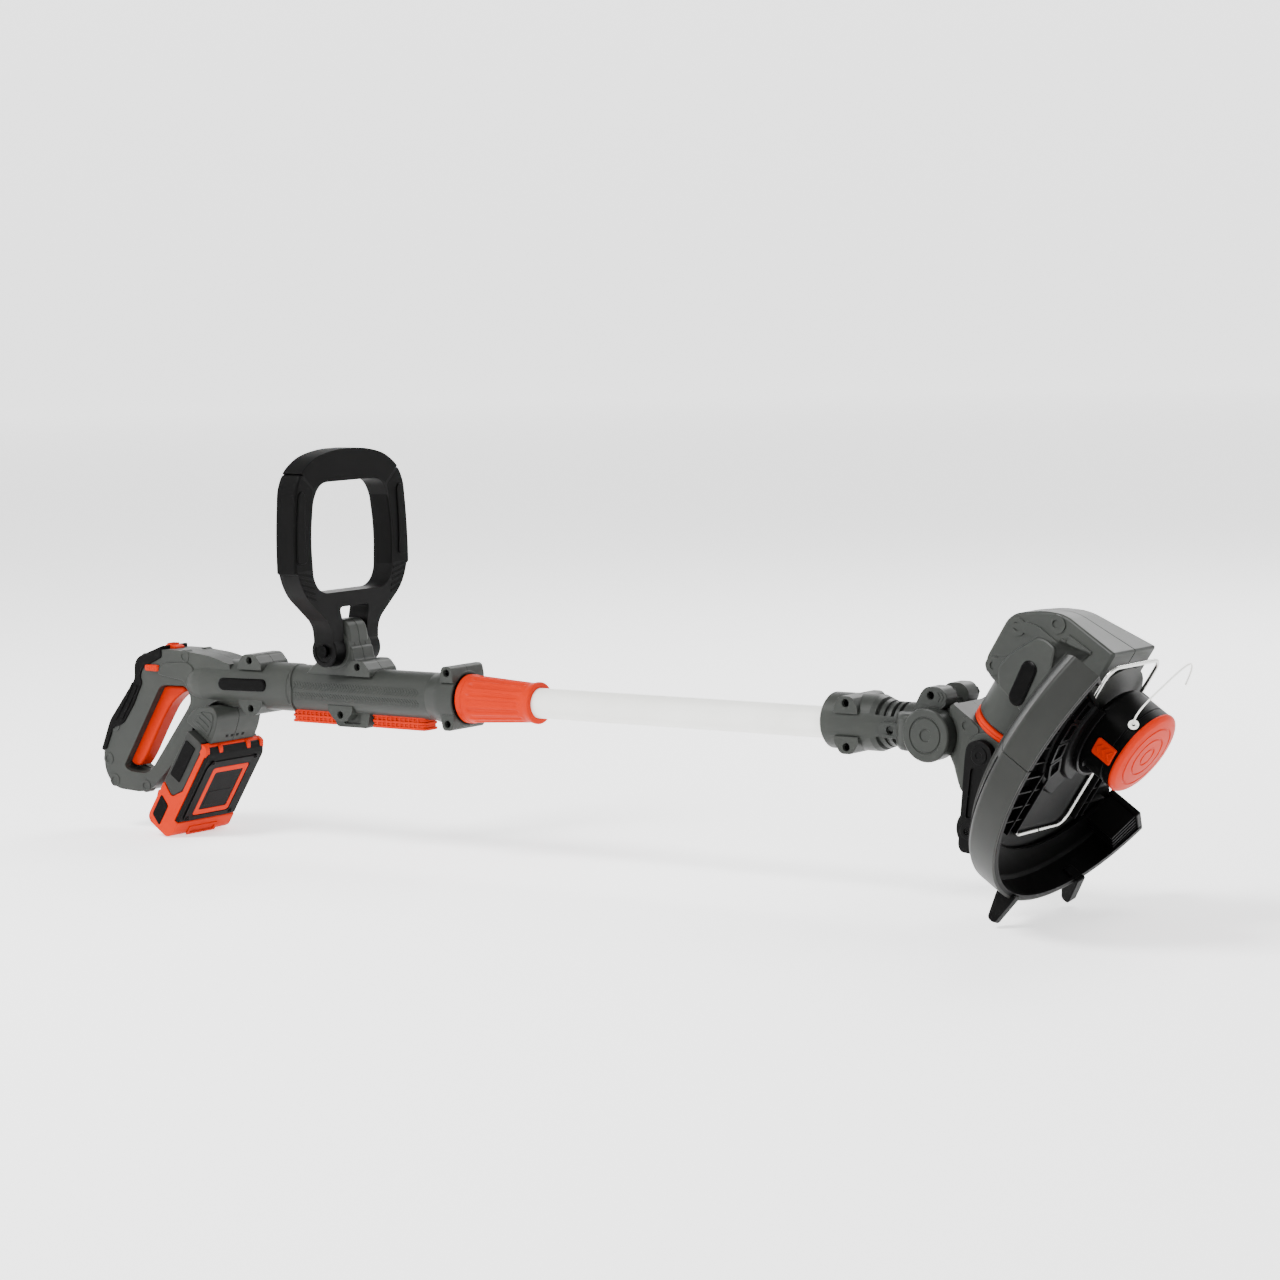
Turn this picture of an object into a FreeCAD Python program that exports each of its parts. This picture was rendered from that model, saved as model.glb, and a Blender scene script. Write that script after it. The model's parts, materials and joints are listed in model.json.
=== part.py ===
import FreeCAD, Part
import Sketcher
import math
import os
import re

# Battery string trimmer, laid on its battery and its guard's feet.
# Working frames: "shaft" runs +X along the tube towards the head, with +Z up, and "leg" is turned in it.
# "neck" is the shaft frame moved along with the tube's front end, and "head" is turned in that.
# The origin is on the tube's axis, in the middle of its bare stretch between the lock collar and the neck.

doc = FreeCAD.newDocument("StringTrimmer")
sheet = doc.addObject("Spreadsheet::Sheet", "Sizes")

# Driving dimensions in millimetres and degrees.
sizes = {
    # overall layout
    "wall": 3.0, "gap": 0.3, "runFit": 0.05,
    # telescopic tube and its collar
    "tubeRadius": 12.5, "tubeWall": 1.2, "tubeRear": -290.0, "tubeLength": 522.0,
    "collarRear": -181.5, "collarFront": -105.0, "collarRearRadius": 20.5, "collarFrontRadius": 16.0,
    # body tube
    "bodyRear": -486.0, "bodyFront": -182.0, "bodyRadius": 21.0, "flangeRear": -196.0, "flangeRadius": 23.5,
    "bushRear": -222.0, "bushFront": -200.0,
    # rear grip
    "gripHalf": 16.0, "padThick": 3.2, "padHalf": 13.0, "triggerHalf": 8.0, "triggerPivotX": -571.0,
    "triggerPivotZ": -70.0, "triggerPin": 1.5,
    # screws
    "bossRadius": 5.6, "bossHalf": 17.5, "headRadius": 2.9, "headHeight": 2.2, "shankRadius": 1.4,
    "shankLength": 12.0, "recessRadius": 3.4, "recessDepth": 3.0,
    # loop handle
    "loopX": -318.0, "loopZ": 36.5, "discRadius": 13.8, "barrelHalf": 14.5,
    "discInner": 15.3, "discOuter": 29.0, "loopDepth": 22.0, "loopBolt": 3.0,
    # battery, in the leg frame
    "legX": -480.0, "legZ": -51.8, "legAngle": 34.0, "batteryHalf": 36.0, "batteryTop": 12.0,
    "batteryBottom": -86.0, "batteryFront": 29.0, "batteryRear": -4.0, "batterySplit": 13.0,
    "tabTravel": 2.0, "cellRadius": 9.0, "cellLength": 65.0, "mountTop": 42.0, "mountHalf": 28.0,
    # neck and yoke, in the neck frame
    "tubeEnd": 232.0, "neckRear": 188.0, "neckRadius": 22.0, "neckSlim": 17.5, "neckCentreZ": 2.5,
    "tiltX": 294.0, "cheekRadius": 20.2, "cheekInner": 19.3, "cheekOuter": 31.0, "discFace": 34.5,
    "knuckleRadius": 17.5, "knuckleHalf": 19.0, "yokeHalf": 26.0, "tiltPin": 5.0,
    # guide fork and roller
    "forkX": 341.4, "forkZ": -12.5, "forkInner": 28.0, "forkOuter": 34.5, "forkEye": 12.5, "forkPin": 4.0,
    "axleX": 330.0, "axleZ": -70.0, "axleRadius": 3.0, "rollerRadius": 15.5, "rollerHalf": 26.5,
    "sleeveHalf": 9.0, "sleeveThick": 3.0,
    # motor head, in the head frame: x runs away from the neck, z from the cap face back to the housing
    "capX": 464.0, "capZ": -10.0, "headAngle": -56.0, "deckBottom": 47.0, "deckTop": 50.0,
    "housingTop": 136.0, "housingHalf": 33.0, "swivelHeight": 104.0, "ringRadius": 29.0, "ringTop": -48.5,
    "ringThick": 7.0, "sleeveRadius": 20.0, "motorRadius": 17.0, "motorBottom": 60.0, "motorTop": 98.0,
    "shaftRadius": 4.0,
    # guard, wire and spool, in the head frame
    "guardRadius": 145.0, "guardWall": 2.6, "skirtBottom": 14.0, "guardStart": 132.0, "guardSeam": 269.0,
    "guardEnd": 303.0, "footLength": 22.8, "footSpread": 19.0, "bandWidth": 12.0,
    "wireRadius": 1.5, "wireHeight": 44.3, "wireHalf": 36.0, "wireFront": 52.0, "wireRear": -103.0,
    "spoolRadius": 34.0, "spoolTop": 41.0, "spoolWall": 2.2, "capHeight": 6.0, "eyeHeight": 12.0,
    "lineRadius": 0.7,
}
for row, (alias, amount) in enumerate(sizes.items(), start=1):
    sheet.set("A%d" % row, str(amount))
    sheet.setAlias("A%d" % row, alias)
doc.recompute()

aliasPattern = re.compile(r"\b(%s)\b" % "|".join(sizes))
nodes = []


def bind(item, prop, amount):
    """Set a property to a number, or tie it to an expression in the sheet's names."""
    if isinstance(amount, str):
        item.setExpression(prop, aliasPattern.sub(r"Sizes.\1", amount))
    else:
        item.setExpression(prop, str(float(amount)))


def seat(item, x=0, y=0, z=0):
    bind(item, "Placement.Base.x", x)
    bind(item, "Placement.Base.y", y)
    bind(item, "Placement.Base.z", z)
    return item


# Turns that lay a cylinder's or cone's own Z axis along another axis.
alongX = FreeCAD.Rotation(FreeCAD.Vector(0, 1, 0), 90)
alongY = FreeCAD.Rotation(FreeCAD.Vector(1, 0, 0), -90)
upright = FreeCAD.Rotation()


def cylinder(radius, height, x=0, y=0, z=0, turn=upright, angle=None):
    item = doc.addObject("Part::Cylinder", "Round")
    bind(item, "Radius", radius)
    bind(item, "Height", height)
    if angle is not None:
        bind(item, "Angle", angle)
    item.Placement = FreeCAD.Placement(FreeCAD.Vector(), turn)
    return seat(item, x, y, z)


def cone(lower, upper, height, x=0, y=0, z=0, turn=upright):
    item = doc.addObject("Part::Cone", "Taper")
    bind(item, "Radius1", lower)
    bind(item, "Radius2", upper)
    bind(item, "Height", height)
    item.Placement = FreeCAD.Placement(FreeCAD.Vector(), turn)
    return seat(item, x, y, z)


def box(length, width, height, x=0, y=0, z=0):
    item = doc.addObject("Part::Box", "Block")
    bind(item, "Length", length)
    bind(item, "Width", width)
    bind(item, "Height", height)
    return seat(item, x, y, z)


def fuse(*items):
    item = doc.addObject("Part::MultiFuse", "Joined")
    item.Shapes = list(items)
    return item


def cut(base, *tools):
    item = doc.addObject("Part::Cut", "Trimmed")
    item.Base = base
    item.Tool = fuse(*tools) if len(tools) > 1 else tools[0]
    return item


def common(first, second):
    item = doc.addObject("Part::MultiCommon", "Shared")
    item.Shapes = [first, second]
    return item


def group(*items):
    item = doc.addObject("Part::Compound", "Set")
    item.Links = list(items)
    return item


def mirror(source):
    item = doc.addObject("Part::Mirroring", "Mirrored")
    item.Source = source
    item.Normal = FreeCAD.Vector(0, 1, 0)
    return item


def drawLoop(sketch, points):
    """Draw a closed outline whose every corner is dimensioned from the sketch's origin."""
    first = sketch.GeometryCount
    count = len(points)
    turn = -2 * math.pi / count
    corners = [FreeCAD.Vector(50 * math.cos(turn * i), 50 * math.sin(turn * i), 0) for i in range(count)]
    for i in range(count):
        sketch.addGeometry(Part.LineSegment(corners[i], corners[(i + 1) % count]))
    for i in range(count):
        after = first + (i + 1) % count
        sketch.addConstraint(Sketcher.Constraint("Coincident", first + i, 2, after, 1))
    for i, corner in enumerate(points):
        for kind, amount in zip(("DistanceX", "DistanceY"), corner):
            known = 1.0 if isinstance(amount, str) else float(amount)
            mark = sketch.addConstraint(Sketcher.Constraint(kind, -1, 1, first + i, 1, known))
            if isinstance(amount, str):
                bind(sketch, "Constraints[%d]" % mark, amount)


def outline(body, plane, loops, offset=0):
    sketch = body.newObject("Sketcher::SketchObject", "Outline")
    flat = [item for item in body.Origin.OriginFeatures if item.Role == plane][0]
    sketch.AttachmentSupport = (flat, "")
    sketch.MapMode = "FlatFace"
    bind(sketch, "AttachmentOffset.Base.z", offset)
    for loop in loops:
        drawLoop(sketch, loop)
    return sketch


def slab(plane, loops, depth, offset=0, soften=0):
    """Pad a closed outline, starting offset along the plane's normal; soften rounds the far face's edges."""
    body = doc.addObject("PartDesign::Body", "Slab")
    pad = body.newObject("PartDesign::Pad", "Thickness")
    pad.Profile = outline(body, plane, loops, offset)
    bind(pad, "Length", depth)
    body.Tip = pad
    if soften:
        doc.recompute()
        faces = pad.Shape.Faces
        normal = pad.Profile[0].Placement.Rotation.multVec(FreeCAD.Vector(0, 0, 1))
        far = max(range(len(faces)), key=lambda i: faces[i].CenterOfMass.dot(normal))
        round_ = body.newObject("PartDesign::Fillet", "Softened")
        round_.Base = (pad, ["Face%d" % (far + 1)])
        bind(round_, "Radius", soften)
        body.Tip = round_
    return body


def lathe(points, angle=360):
    """Turn a profile of (radius, height) corners about the body's own Z axis."""
    body = doc.addObject("PartDesign::Body", "Turned")
    turned = body.newObject("PartDesign::Revolution", "Turn")
    sketch = outline(body, "XZ_Plane", [points])
    turned.Profile = sketch
    turned.ReferenceAxis = (sketch, ["V_Axis"])
    bind(turned, "Angle", angle)
    body.Tip = turned
    return body


def copyAt(item, x=0, y=0, z=0, axis=(0, 0, 1), angle=0):
    """A second use of a piece: moved, or turned about an axis through the frame's origin."""
    spare = doc.addObject("Part::Compound", "Placed")
    spare.Links = [item]
    turn = FreeCAD.Rotation(FreeCAD.Vector(*axis), angle)
    spare.Placement = FreeCAD.Placement(FreeCAD.Vector(x, y, z), turn)
    return spare


# The four frames in which pieces are drawn. A longer tube moves the neck frame and all that hangs on it.
turnY = FreeCAD.Vector(0, 1, 0)
neckShift = sizes["tubeRear"] + sizes["tubeLength"] - sizes["tubeEnd"]
tubeMiddle = (sizes["collarFront"] + sizes["neckRear"] + neckShift) / 2
shaftFrame = FreeCAD.Placement(FreeCAD.Vector(-tubeMiddle, 0, 0), upright)
legFrame = shaftFrame.multiply(FreeCAD.Placement(
    FreeCAD.Vector(sizes["legX"], 0, sizes["legZ"]), FreeCAD.Rotation(turnY, sizes["legAngle"])))
neckFrame = FreeCAD.Placement(FreeCAD.Vector(neckShift - tubeMiddle, 0, 0), upright)
headFrame = neckFrame.multiply(FreeCAD.Placement(
    FreeCAD.Vector(sizes["capX"], 0, sizes["capZ"]), FreeCAD.Rotation(turnY, sizes["headAngle"])))


def keep(name, frame, item):
    """Name a finished sub-part and put it in its frame."""
    whole = group(item)
    whole.Label = name
    whole.Placement = frame
    nodes.append(whole)
    return whole


def screw(x, z, face, frameTurn=alongY):
    """A pan-head screw along +Y with its head's top recessed below a boss face at y = -face."""
    head = cylinder("headRadius", "headHeight", x, "-(%s)+recessDepth-headHeight" % face, z, frameTurn)
    shank = cylinder("shankRadius", "shankLength", x, "-(%s)+recessDepth" % face, z, frameTurn)
    return fuse(head, shank)


def recess(x, z, face):
    well = cylinder("recessRadius", "recessDepth+1", x, "-(%s)-1" % face, z, alongY)
    hole = cylinder("shankRadius", "shankLength+1", x, "-(%s)+recessDepth-0.5" % face, z, alongY)
    return fuse(well, hole)


def boss(x, z, face):
    return cylinder("bossRadius", face, x, "-(%s)" % face, z, alongY)


# ---- rear handle and body ----

gripOuter = [
    (-440, 18), (-467, 25), (-500, 29), (-512, 28), ("-524", "31.5-padThick"),
    ("-554.5+0.2*padThick", "20-padThick"), ("-560+padThick", 12), ("-560.5+padThick", -1),
    ("-594+padThick", -40.5), ("-606+padThick", -67), (-602, -85), (-595, -95), (-586, -100.5),
    (-556, -102), (-542, -97), (-494, -54), (-487, -30), (-455, -12),
]
gripOpening = [
    (-528, -4), (-578, -80), (-570, -84), (-546, -85), (-494, -22), (-490, -14), (-497, -3),
]
bodyBosses = [
    (-497, 23, "bossHalf"), (-545, 18.3, "bossHalf"), (-587, -43, "bossHalf"), (-597, -74, "bossHalf"),
    (-590, -93, "bossHalf"), (-551, -96, "bossHalf"), (-484, -36, "bossHalf"), (-417, 23, "bossHalf"),
    (-417, -19, "bossHalf"), (-291, 23, "bossHalf"), (-312, -19, "bossHalf"),
    (-189, 23, "bossHalf+3"), (-189, -20, "bossHalf+3"),
]


def gripHalfSolid():
    grip = slab("XZ_Plane", [gripOuter, gripOpening], "gripHalf", 0, 3)
    triggerWell = slab("XZ_Plane", [triggerWellOutline], "triggerHalf+gap")
    switchWell = slab("XZ_Plane", [[
        (-556, 4), (-556, 14), (-520, 25), (-492, 24), (-470, 14), (-470, 4),
    ]], 11)
    return cut(grip, triggerWell, switchWell)


triggerOutline = [
    (-529, -5), (-574, -72), (-570, -76), (-561, -71), (-523, -18), (-509, -8), (-512, -5),
]
triggerWellOutline = [
    (-512, -6), (-512, 0.2), (-541, 0.2), (-586, -74), (-577, -81), (-569, -79), (-540, -40), (-528, -10),
]


def mountHalf():
    """The block over the battery that carries its rails, drawn in the leg frame."""
    top = slab("XZ_Plane", [[
        (-14, "batteryTop+gap"), ("batteryFront", "batteryTop+gap"), ("batteryFront+4", 30), (18, "mountTop"),
        (-2, 36), (-16, 14),
    ]], "mountHalf", 0, 2)
    hollow = slab("XZ_Plane", [[
        (-6, "batteryTop+3"), (24, "batteryTop+3"), (24, 30), (14, 36), (0, 31),
    ]], "mountHalf-3")
    slot = box(24, 18, 4, 0, -18, "batteryTop")
    block = cut(top, hollow, slot)
    turned = group(block)
    angle = FreeCAD.Rotation(turnY, sizes["legAngle"])
    turned.Placement = FreeCAD.Placement(FreeCAD.Vector(), angle)
    return seat(turned, "legX", 0, "legZ")


def halfSpace():
    return box(560, 60, 420, -620, -60, -160)


def bodyHalf():
    """One half of the rear housing, on the -Y side."""
    tube = cylinder("bodyRadius", "bodyFront-bodyRear", "bodyRear", 0, 0, alongX)
    flange = cylinder("flangeRadius", "bodyFront-flangeRear", "flangeRear", 0, 0, alongX)
    saddle = slab("XZ_Plane", [[
        (-352, 15), (-346, 24), (-337, 30), (-337, 44), (-330, 57), (-322, 62.5), (-310, 62.5), (-302, 54),
        (-299, 34), (-284, 26), (-280, 15),
    ]], "barrelHalf", 0, 1.5)
    holder = slab("XZ_Plane", [[(-328, -15), (-320, -30), (-288, -30), (-285, -15)]], 12, 0, 1)
    bosses = [boss(x, z, face) for x, z, face in bodyBosses]
    whole = fuse(gripHalfSolid(), tube, flange, saddle, holder, mountHalf(), *bosses)
    cavity = cylinder("bodyRadius-wall", "bushRear-bodyRear-4", "bodyRear+4", 0, 0, alongX)
    bushSeat = cylinder("tubeRadius+3", "bodyFront-bushRear-2", "bushRear", 0, 0, alongX)
    mouth = cylinder("tubeRadius+gap", 20, "bodyFront-15", 0, 0, alongX)
    pivot = cylinder("loopBolt+runFit", 80, "loopX", -40, "loopZ", alongY)
    bladeSlots = fuse(*[blade(x, length, "gap") for x, length in bladeStacks])
    sideButton = box("17+2*gap", 30, "6.4+2*gap", "-545-gap", -40, "8-gap")
    badge = slab("XZ_Plane", [badgeOutline], 10, "bodyRadius-0.6")
    hole = cylinder("triggerPin+runFit", 60, "triggerPivotX", -30, "triggerPivotZ", alongY)
    blank = common(whole, halfSpace())
    return cut(blank, cavity, bushSeat, mouth, pivot, bladeSlots, sideButton, topButtonRoom(), badge, hole,
               gripPad())


badgeOutline = [(-452, 1), (-447, 7), (-399, 8), (-395, 3), (-400, -3.5), (-447, -3.5)]
bladeStacks = [(-376, 52), (-284, 60)]


def blade(x, length, room=0):
    """Outline of one stack of flat plastic cutting blades clipped under the body tube."""
    return box("%s+2*(%s)" % (length, room), "18+2*(%s)" % room, "12+(%s)" % room,
               "%s-(%s)" % (x, room), "-9-(%s)" % room, "-29")


def bladeStack(x, length):
    """Five thin blades, one on another, joined by their hub pins."""
    layers = [box(length, 18 - 1.6 * (i % 2), 2.2, x, -9 + 0.8 * (i % 2), -29 + 2.4 * i) for i in range(5)]
    pins = [cylinder(3, 11.8, x + reach, 0, -29) for reach in (7, length - 7)]
    return fuse(*layers, *pins)


def gripPad():
    """The soft strip over the back and top of the rear grip."""
    return slab("XZ_Plane", [[
        (-524, "31.5-padThick"), (-524, 31.5), (-556, 20), (-560, 13), (-560.5, 0), (-594, -39), (-606, -66),
        ("-606+padThick", -67), ("-594+padThick", -40.5), ("-560.5+padThick", -1), ("-560+padThick", 12),
        ("-554.5+0.2*padThick", "20-padThick"),
    ]], "2*padHalf", "-padHalf")


def topButtonRoom():
    return box("15+2*gap", "12+2*gap", 20, "-532-gap", "-6-gap", 16)


def makeBody():
    half = bodyHalf()
    wells = [recess(x, z, face) for x, z, face in bodyBosses]
    keep("handle_shell_right", shaftFrame, cut(half, *wells))
    keep("handle_shell_left", shaftFrame, cut(mirror(half), *wells))
    keep("body_screws", shaftFrame, group(*[screw(x, z, face) for x, z, face in bodyBosses]))
    keep("rear_grip_pad", shaftFrame, cut(gripPad(), topButtonRoom()))
    for name, (x, length) in zip(("spare_blades_rear", "spare_blades_front"), bladeStacks):
        keep(name, shaftFrame, bladeStack(x, length))
    keep("body_badge", shaftFrame, slab("XZ_Plane", [badgeOutline], 1.4, "bodyRadius-0.6"))
    keep("trigger_switch", shaftFrame, box(20, 14, 9, -515, -7, 6))
    keep("control_board", shaftFrame, box(40, 30, 1.6, -480, -15, -8))
    bush = cylinder("tubeRadius+3", "bushFront-bushRear", "bushRear", 0, 0, alongX)
    bore = cylinder("tubeRadius+runFit", 60, "bushRear-10", 0, 0, alongX)
    keep("tube_guide_bush", shaftFrame, cut(bush, bore))
    bolt = cylinder("loopBolt", "2*discOuter+6", "loopX", "-discOuter-2", "loopZ", alongY)
    head = cylinder(5.5, 2.4, "loopX", "-discOuter-2.6", "loopZ", alongY)
    keep("loop_pivot_bolt", shaftFrame, fuse(bolt, head))
    nut = cylinder(5, 3, "loopX", "discOuter+0.3", "loopZ", alongY)
    thread = cylinder("loopBolt", 9, "loopX", "discOuter-2", "loopZ", alongY)
    keep("loop_pivot_nut", shaftFrame, cut(nut, thread))


# ---- trigger and buttons ----

def makeControls():
    lever = slab("XZ_Plane", [triggerOutline], "2*triggerHalf", "-triggerHalf", 1.5)
    pin = cylinder("triggerPin", 26, "triggerPivotX", -13, "triggerPivotZ", alongY)
    keep("trigger", shaftFrame, fuse(lever, pin))
    side = box(17, 5, 6.4, -545, "-gripHalf-2", 8)
    keep("lock_off_button", shaftFrame, side)
    top = box(15, 12, 8, -532, -6, 24.5)
    keep("lock_on_button", shaftFrame, top)


# ---- loop handle ----

loopOuter = [
    ("-discOuter", "loopZ"), ("-discOuter", 50), ("-discOuter-2", 60), (-68, 92), (-71.5, 133), (-67, 180),
    (-50, 199), (-20, 207), (20, 207), (50, 199), (67, 180), (71.5, 133), (68, 92), ("discOuter+2", 60),
    ("discOuter", 50), ("discOuter", "loopZ"), ("discInner", "loopZ"), ("discInner", 60),
    ("discInner+3.7", 74), ("-discInner-3.7", 74), ("-discInner", 60), ("-discInner", "loopZ"),
]
loopWindow = [
    (-40, 87), (40, 87), (50, 98), (52, 135), (47, 170),
    (36, 182), (-36, 182), (-47, 170), (-52, 135), (-50, 98),
]


def makeLoop():
    ring = slab("YZ_Plane", [loopOuter, loopWindow], "loopDepth", "loopX-loopDepth/2")
    eyes = [cylinder("discRadius", "discOuter-discInner", "loopX", y, "loopZ", alongY)
            for y in ("discInner", "-discOuter")]
    bolt = cylinder("loopBolt+runFit", 90, "loopX", -45, "loopZ", alongY)
    keep("loop_frame", shaftFrame, cut(fuse(ring, *eyes), bolt))
    sleeve = slab("YZ_Plane", [[
        (-71.7, 133), (-67.2, 180.2), (-50.2, 199.2), (-20, 207.2), (20, 207.2), (50.2, 199.2), (67.2, 180.2),
        (71.7, 133), (73.3, 133), (68.6, 181), (51, 200.8), (20.2, 208.8), (-20.2, 208.8), (-51, 200.8),
        (-68.6, 181), (-73.3, 133),
    ]], "loopDepth-4", "loopX-loopDepth/2+2")
    keep("loop_grip_cover", shaftFrame, sleeve)
    washers = [cut(cylinder(9, 0.6, "loopX", y, "loopZ", alongY),
                   cylinder("loopBolt+runFit", 4, "loopX", "%s-1" % y, "loopZ", alongY))
               for y in ("barrelHalf+0.1", "-barrelHalf-0.7")]
    keep("detent_washers", shaftFrame, group(*washers))


# ---- battery, in the leg frame ----

batteryProfile = [
    ("batteryRear", "batteryBottom+4"), ("batteryRear", "batteryTop"), ("batteryFront-4", "batteryTop"),
    ("batteryFront", "batteryTop-5"), ("batteryFront", "batteryBottom+6"),
    ("batteryFront-5", "batteryBottom"), ("batteryRear+4", "batteryBottom"),
]


def makeBattery():
    whole = slab("XZ_Plane", [batteryProfile], "2*batteryHalf", "-batteryHalf", 2)
    hollow = box("batteryFront-batteryRear-6", "2*batteryHalf-6", "batteryTop-batteryBottom-6",
                 "batteryRear+3", "-batteryHalf+3", "batteryBottom+3")
    case = cut(whole, hollow)
    front = box(60, 100, 140, "batterySplit", -50, -110)
    keep("battery_upper_shell", legFrame, common(case, front))
    keep("battery_lower_shell", legFrame, cut(case, front))
    plate = box(0.8, 48, 52, "batteryFront", -24, "batteryBottom+22")
    keep("battery_label_plate", legFrame, plate)
    cells = [cylinder("cellRadius", "cellLength", "batteryRear+3.2+cellRadius", "-cellLength/2",
                      "batteryBottom+4+cellRadius+%s" % (18.2 * i), alongY) for i in range(5)]
    keep("battery_cells", legFrame, group(*cells))
    tabs = [box(9, 1, 7, 7, y, "batteryTop") for y in (-10, -3.3, 3.3, 10)]
    keep("battery_terminals", legFrame, group(*tabs))
    socket = [cut(box(12, 3, 5, 6, y, "batteryTop+3.1"), box(10, 1.4, 6, 6.5, y + 0.8, "batteryTop+2"))
              for y in (-11, -4.3, 2.3, 9)]
    keep("terminal_block", legFrame, group(*socket))
    latch = slab("XZ_Plane", [[
        (-24, -72), ("batteryRear-tabTravel-gap", -62), ("batteryRear-tabTravel-gap", -81),
        (-9, -84), (-22, -80),
    ]], 26, -13, 1)
    keep("battery_release_tab", legFrame, latch)


# ---- tube, collar and neck ----

neckBosses = [(213.6, 19, "neckRadius"), (213.6, -15, "neckRadius"), (252.5, 0, "neckRadius-2"),
              (292, 29, 23)]


def makeTube():
    rod = cylinder("tubeRadius", "tubeLength", "tubeRear", 0, 0, alongX)
    bore = cylinder("tubeRadius-tubeWall", "tubeLength+2", "tubeRear-1", 0, 0, alongX)
    keep("telescopic_tube", shaftFrame, cut(rod, bore))
    core = cone("collarRearRadius", "collarFrontRadius", "collarFront-collarRear", "collarRear", 0, 0, alongX)
    hole = cylinder("tubeRadius+runFit", 120, "collarRear-10", 0, 0, alongX)
    grooves = []
    for i in range(24):
        angle = math.radians(15 * i)
        flute = cylinder(1.5, "collarFront-collarRear-16", "collarRear+8", 0, 0, alongX)
        bind(flute, "Placement.Base.y", "(collarRearRadius+0.2)*%.6f" % math.cos(angle))
        bind(flute, "Placement.Base.z", "(collarRearRadius+0.2)*%.6f" % math.sin(angle))
        grooves.append(flute)
    keep("lock_collar", shaftFrame, cut(core, hole, *grooves))


def neckHalf():
    drum = cylinder("neckRadius", 46, "neckRear", 0, "neckCentreZ", alongX)
    taper = cone("neckRadius", "neckSlim", 14, "neckRear+46", 0, "neckCentreZ", alongX)
    slim = cylinder("neckSlim", 34, "neckRear+60", 0, "neckCentreZ", alongX)
    cheek = cylinder("cheekRadius", "cheekOuter-cheekInner", "tiltX", "-cheekOuter", 0, alongY)
    bridge = box(24, "cheekOuter-cheekInner", 34, 266, "-cheekOuter", -17)
    ear = slab("XZ_Plane", [[(276, 16), (281, 33), (285, 35), (299, 35), (306, 24), (302, 16)]], 23, 0, 1.5)
    bosses = [boss(x, z, face) for x, z, face in neckBosses]
    whole = fuse(drum, taper, slim, cheek, bridge, ear, *bosses)
    blank = common(whole, box(200, 60, 120, 180, -60, -60))
    knuckleRoom = cylinder("knuckleRadius+0.8", "2*cheekInner", "tiltX", "-cheekInner", 0, alongY)
    tubeSeat = cylinder("tubeRadius", "tubeEnd-neckRear+1", "neckRear-1", 0, 0, alongX)
    cavity = cylinder("tubeRadius-1.5", 36, "tubeEnd", 0, 0, alongX)
    pin = cylinder("tiltPin+runFit", 80, "tiltX", -40, 0, alongY)
    vents = [box(3.2, 20, 60, 239 + 6.2 * i, -24, -30) for i in range(4)]
    keepMid = box(40, 60, 14, 232, -60, -5)
    return cut(blank, knuckleRoom, tubeSeat, cavity, pin, *[cut(vent, keepMid) for vent in vents])


def makeNeck():
    half = neckHalf()
    wells = [recess(x, z, face) for x, z, face in neckBosses]
    keep("neck_shell_right", neckFrame, cut(half, *wells))
    keep("neck_shell_left", neckFrame, cut(mirror(half), *wells))
    keep("neck_screws", neckFrame, group(*[screw(x, z, face) for x, z, face in neckBosses]))
    pin = cylinder("tiltPin", "2*cheekOuter", "tiltX", "-cheekOuter", 0, alongY)
    keep("tilt_pin", neckFrame, pin)
    near = cylinder("cheekRadius+0.4", "discFace-cheekOuter-0.2", "tiltX", "-discFace", 0, alongY)
    far = cylinder("cheekRadius+0.4", "discFace-cheekOuter-0.2", "tiltX", "cheekOuter+0.2", 0, alongY)
    keep("tilt_discs", neckFrame, group(near, far))


# ---- yoke ----

yokeBosses = [(325.5, 8.5, "yokeHalf+0.8"), (325, -36, "yokeHalf+0.8"), (368, -22, "yokeHalf+0.8")]
yokeOutline = [(305, 20), (318, 27), (334, 21), (378, -9), (380, -20), (374, -30),
               (352, -38), (330, -45), (317, -40), (308, -16), (300, 0)]


def yokeHalf():
    block = slab("XZ_Plane", [yokeOutline], "yokeHalf", 0, 3)
    knuckle = cylinder("knuckleRadius", "knuckleHalf", "tiltX", "-knuckleHalf", 0, alongY)
    web = box(26, "knuckleHalf", 24, "tiltX", "-knuckleHalf", -12)
    bosses = [boss(x, z, face) for x, z, face in yokeBosses]
    seatRing = cylinder("forkEye+4", "forkInner-yokeHalf+1", "forkX", "-forkInner+gap", "forkZ", alongY)
    cheekRoom = cylinder("cheekRadius+0.8", 40, "tiltX", "-knuckleHalf-40", 0, alongY)
    body = cut(fuse(block, seatRing, *bosses), cheekRoom, topOfYoke())
    pin = cylinder("tiltPin+runFit", 80, "tiltX", -40, 0, alongY)
    forkPin = cylinder("forkPin+runFit", 80, "forkX", -40, "forkZ", alongY)
    return cut(common(fuse(body, knuckle, web), box(120, 60, 120, 270, -60, -60)), pin, forkPin, sleeveRoom())


def inNeck(item):
    """Put a piece drawn in the head frame into the neck frame."""
    turned = group(item)
    turned.Placement = FreeCAD.Placement(FreeCAD.Vector(), FreeCAD.Rotation(turnY, sizes["headAngle"]))
    return seat(turned, "capX", 0, "capZ")


def topOfYoke():
    return inNeck(box(90, 100, 120, "ringTop-ringThick", -50, "swivelHeight-60"))


def sleeveRoom():
    return inNeck(cylinder("sleeveRadius", 16, "ringTop-ringThick-8", 0, "swivelHeight", alongX))


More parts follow.
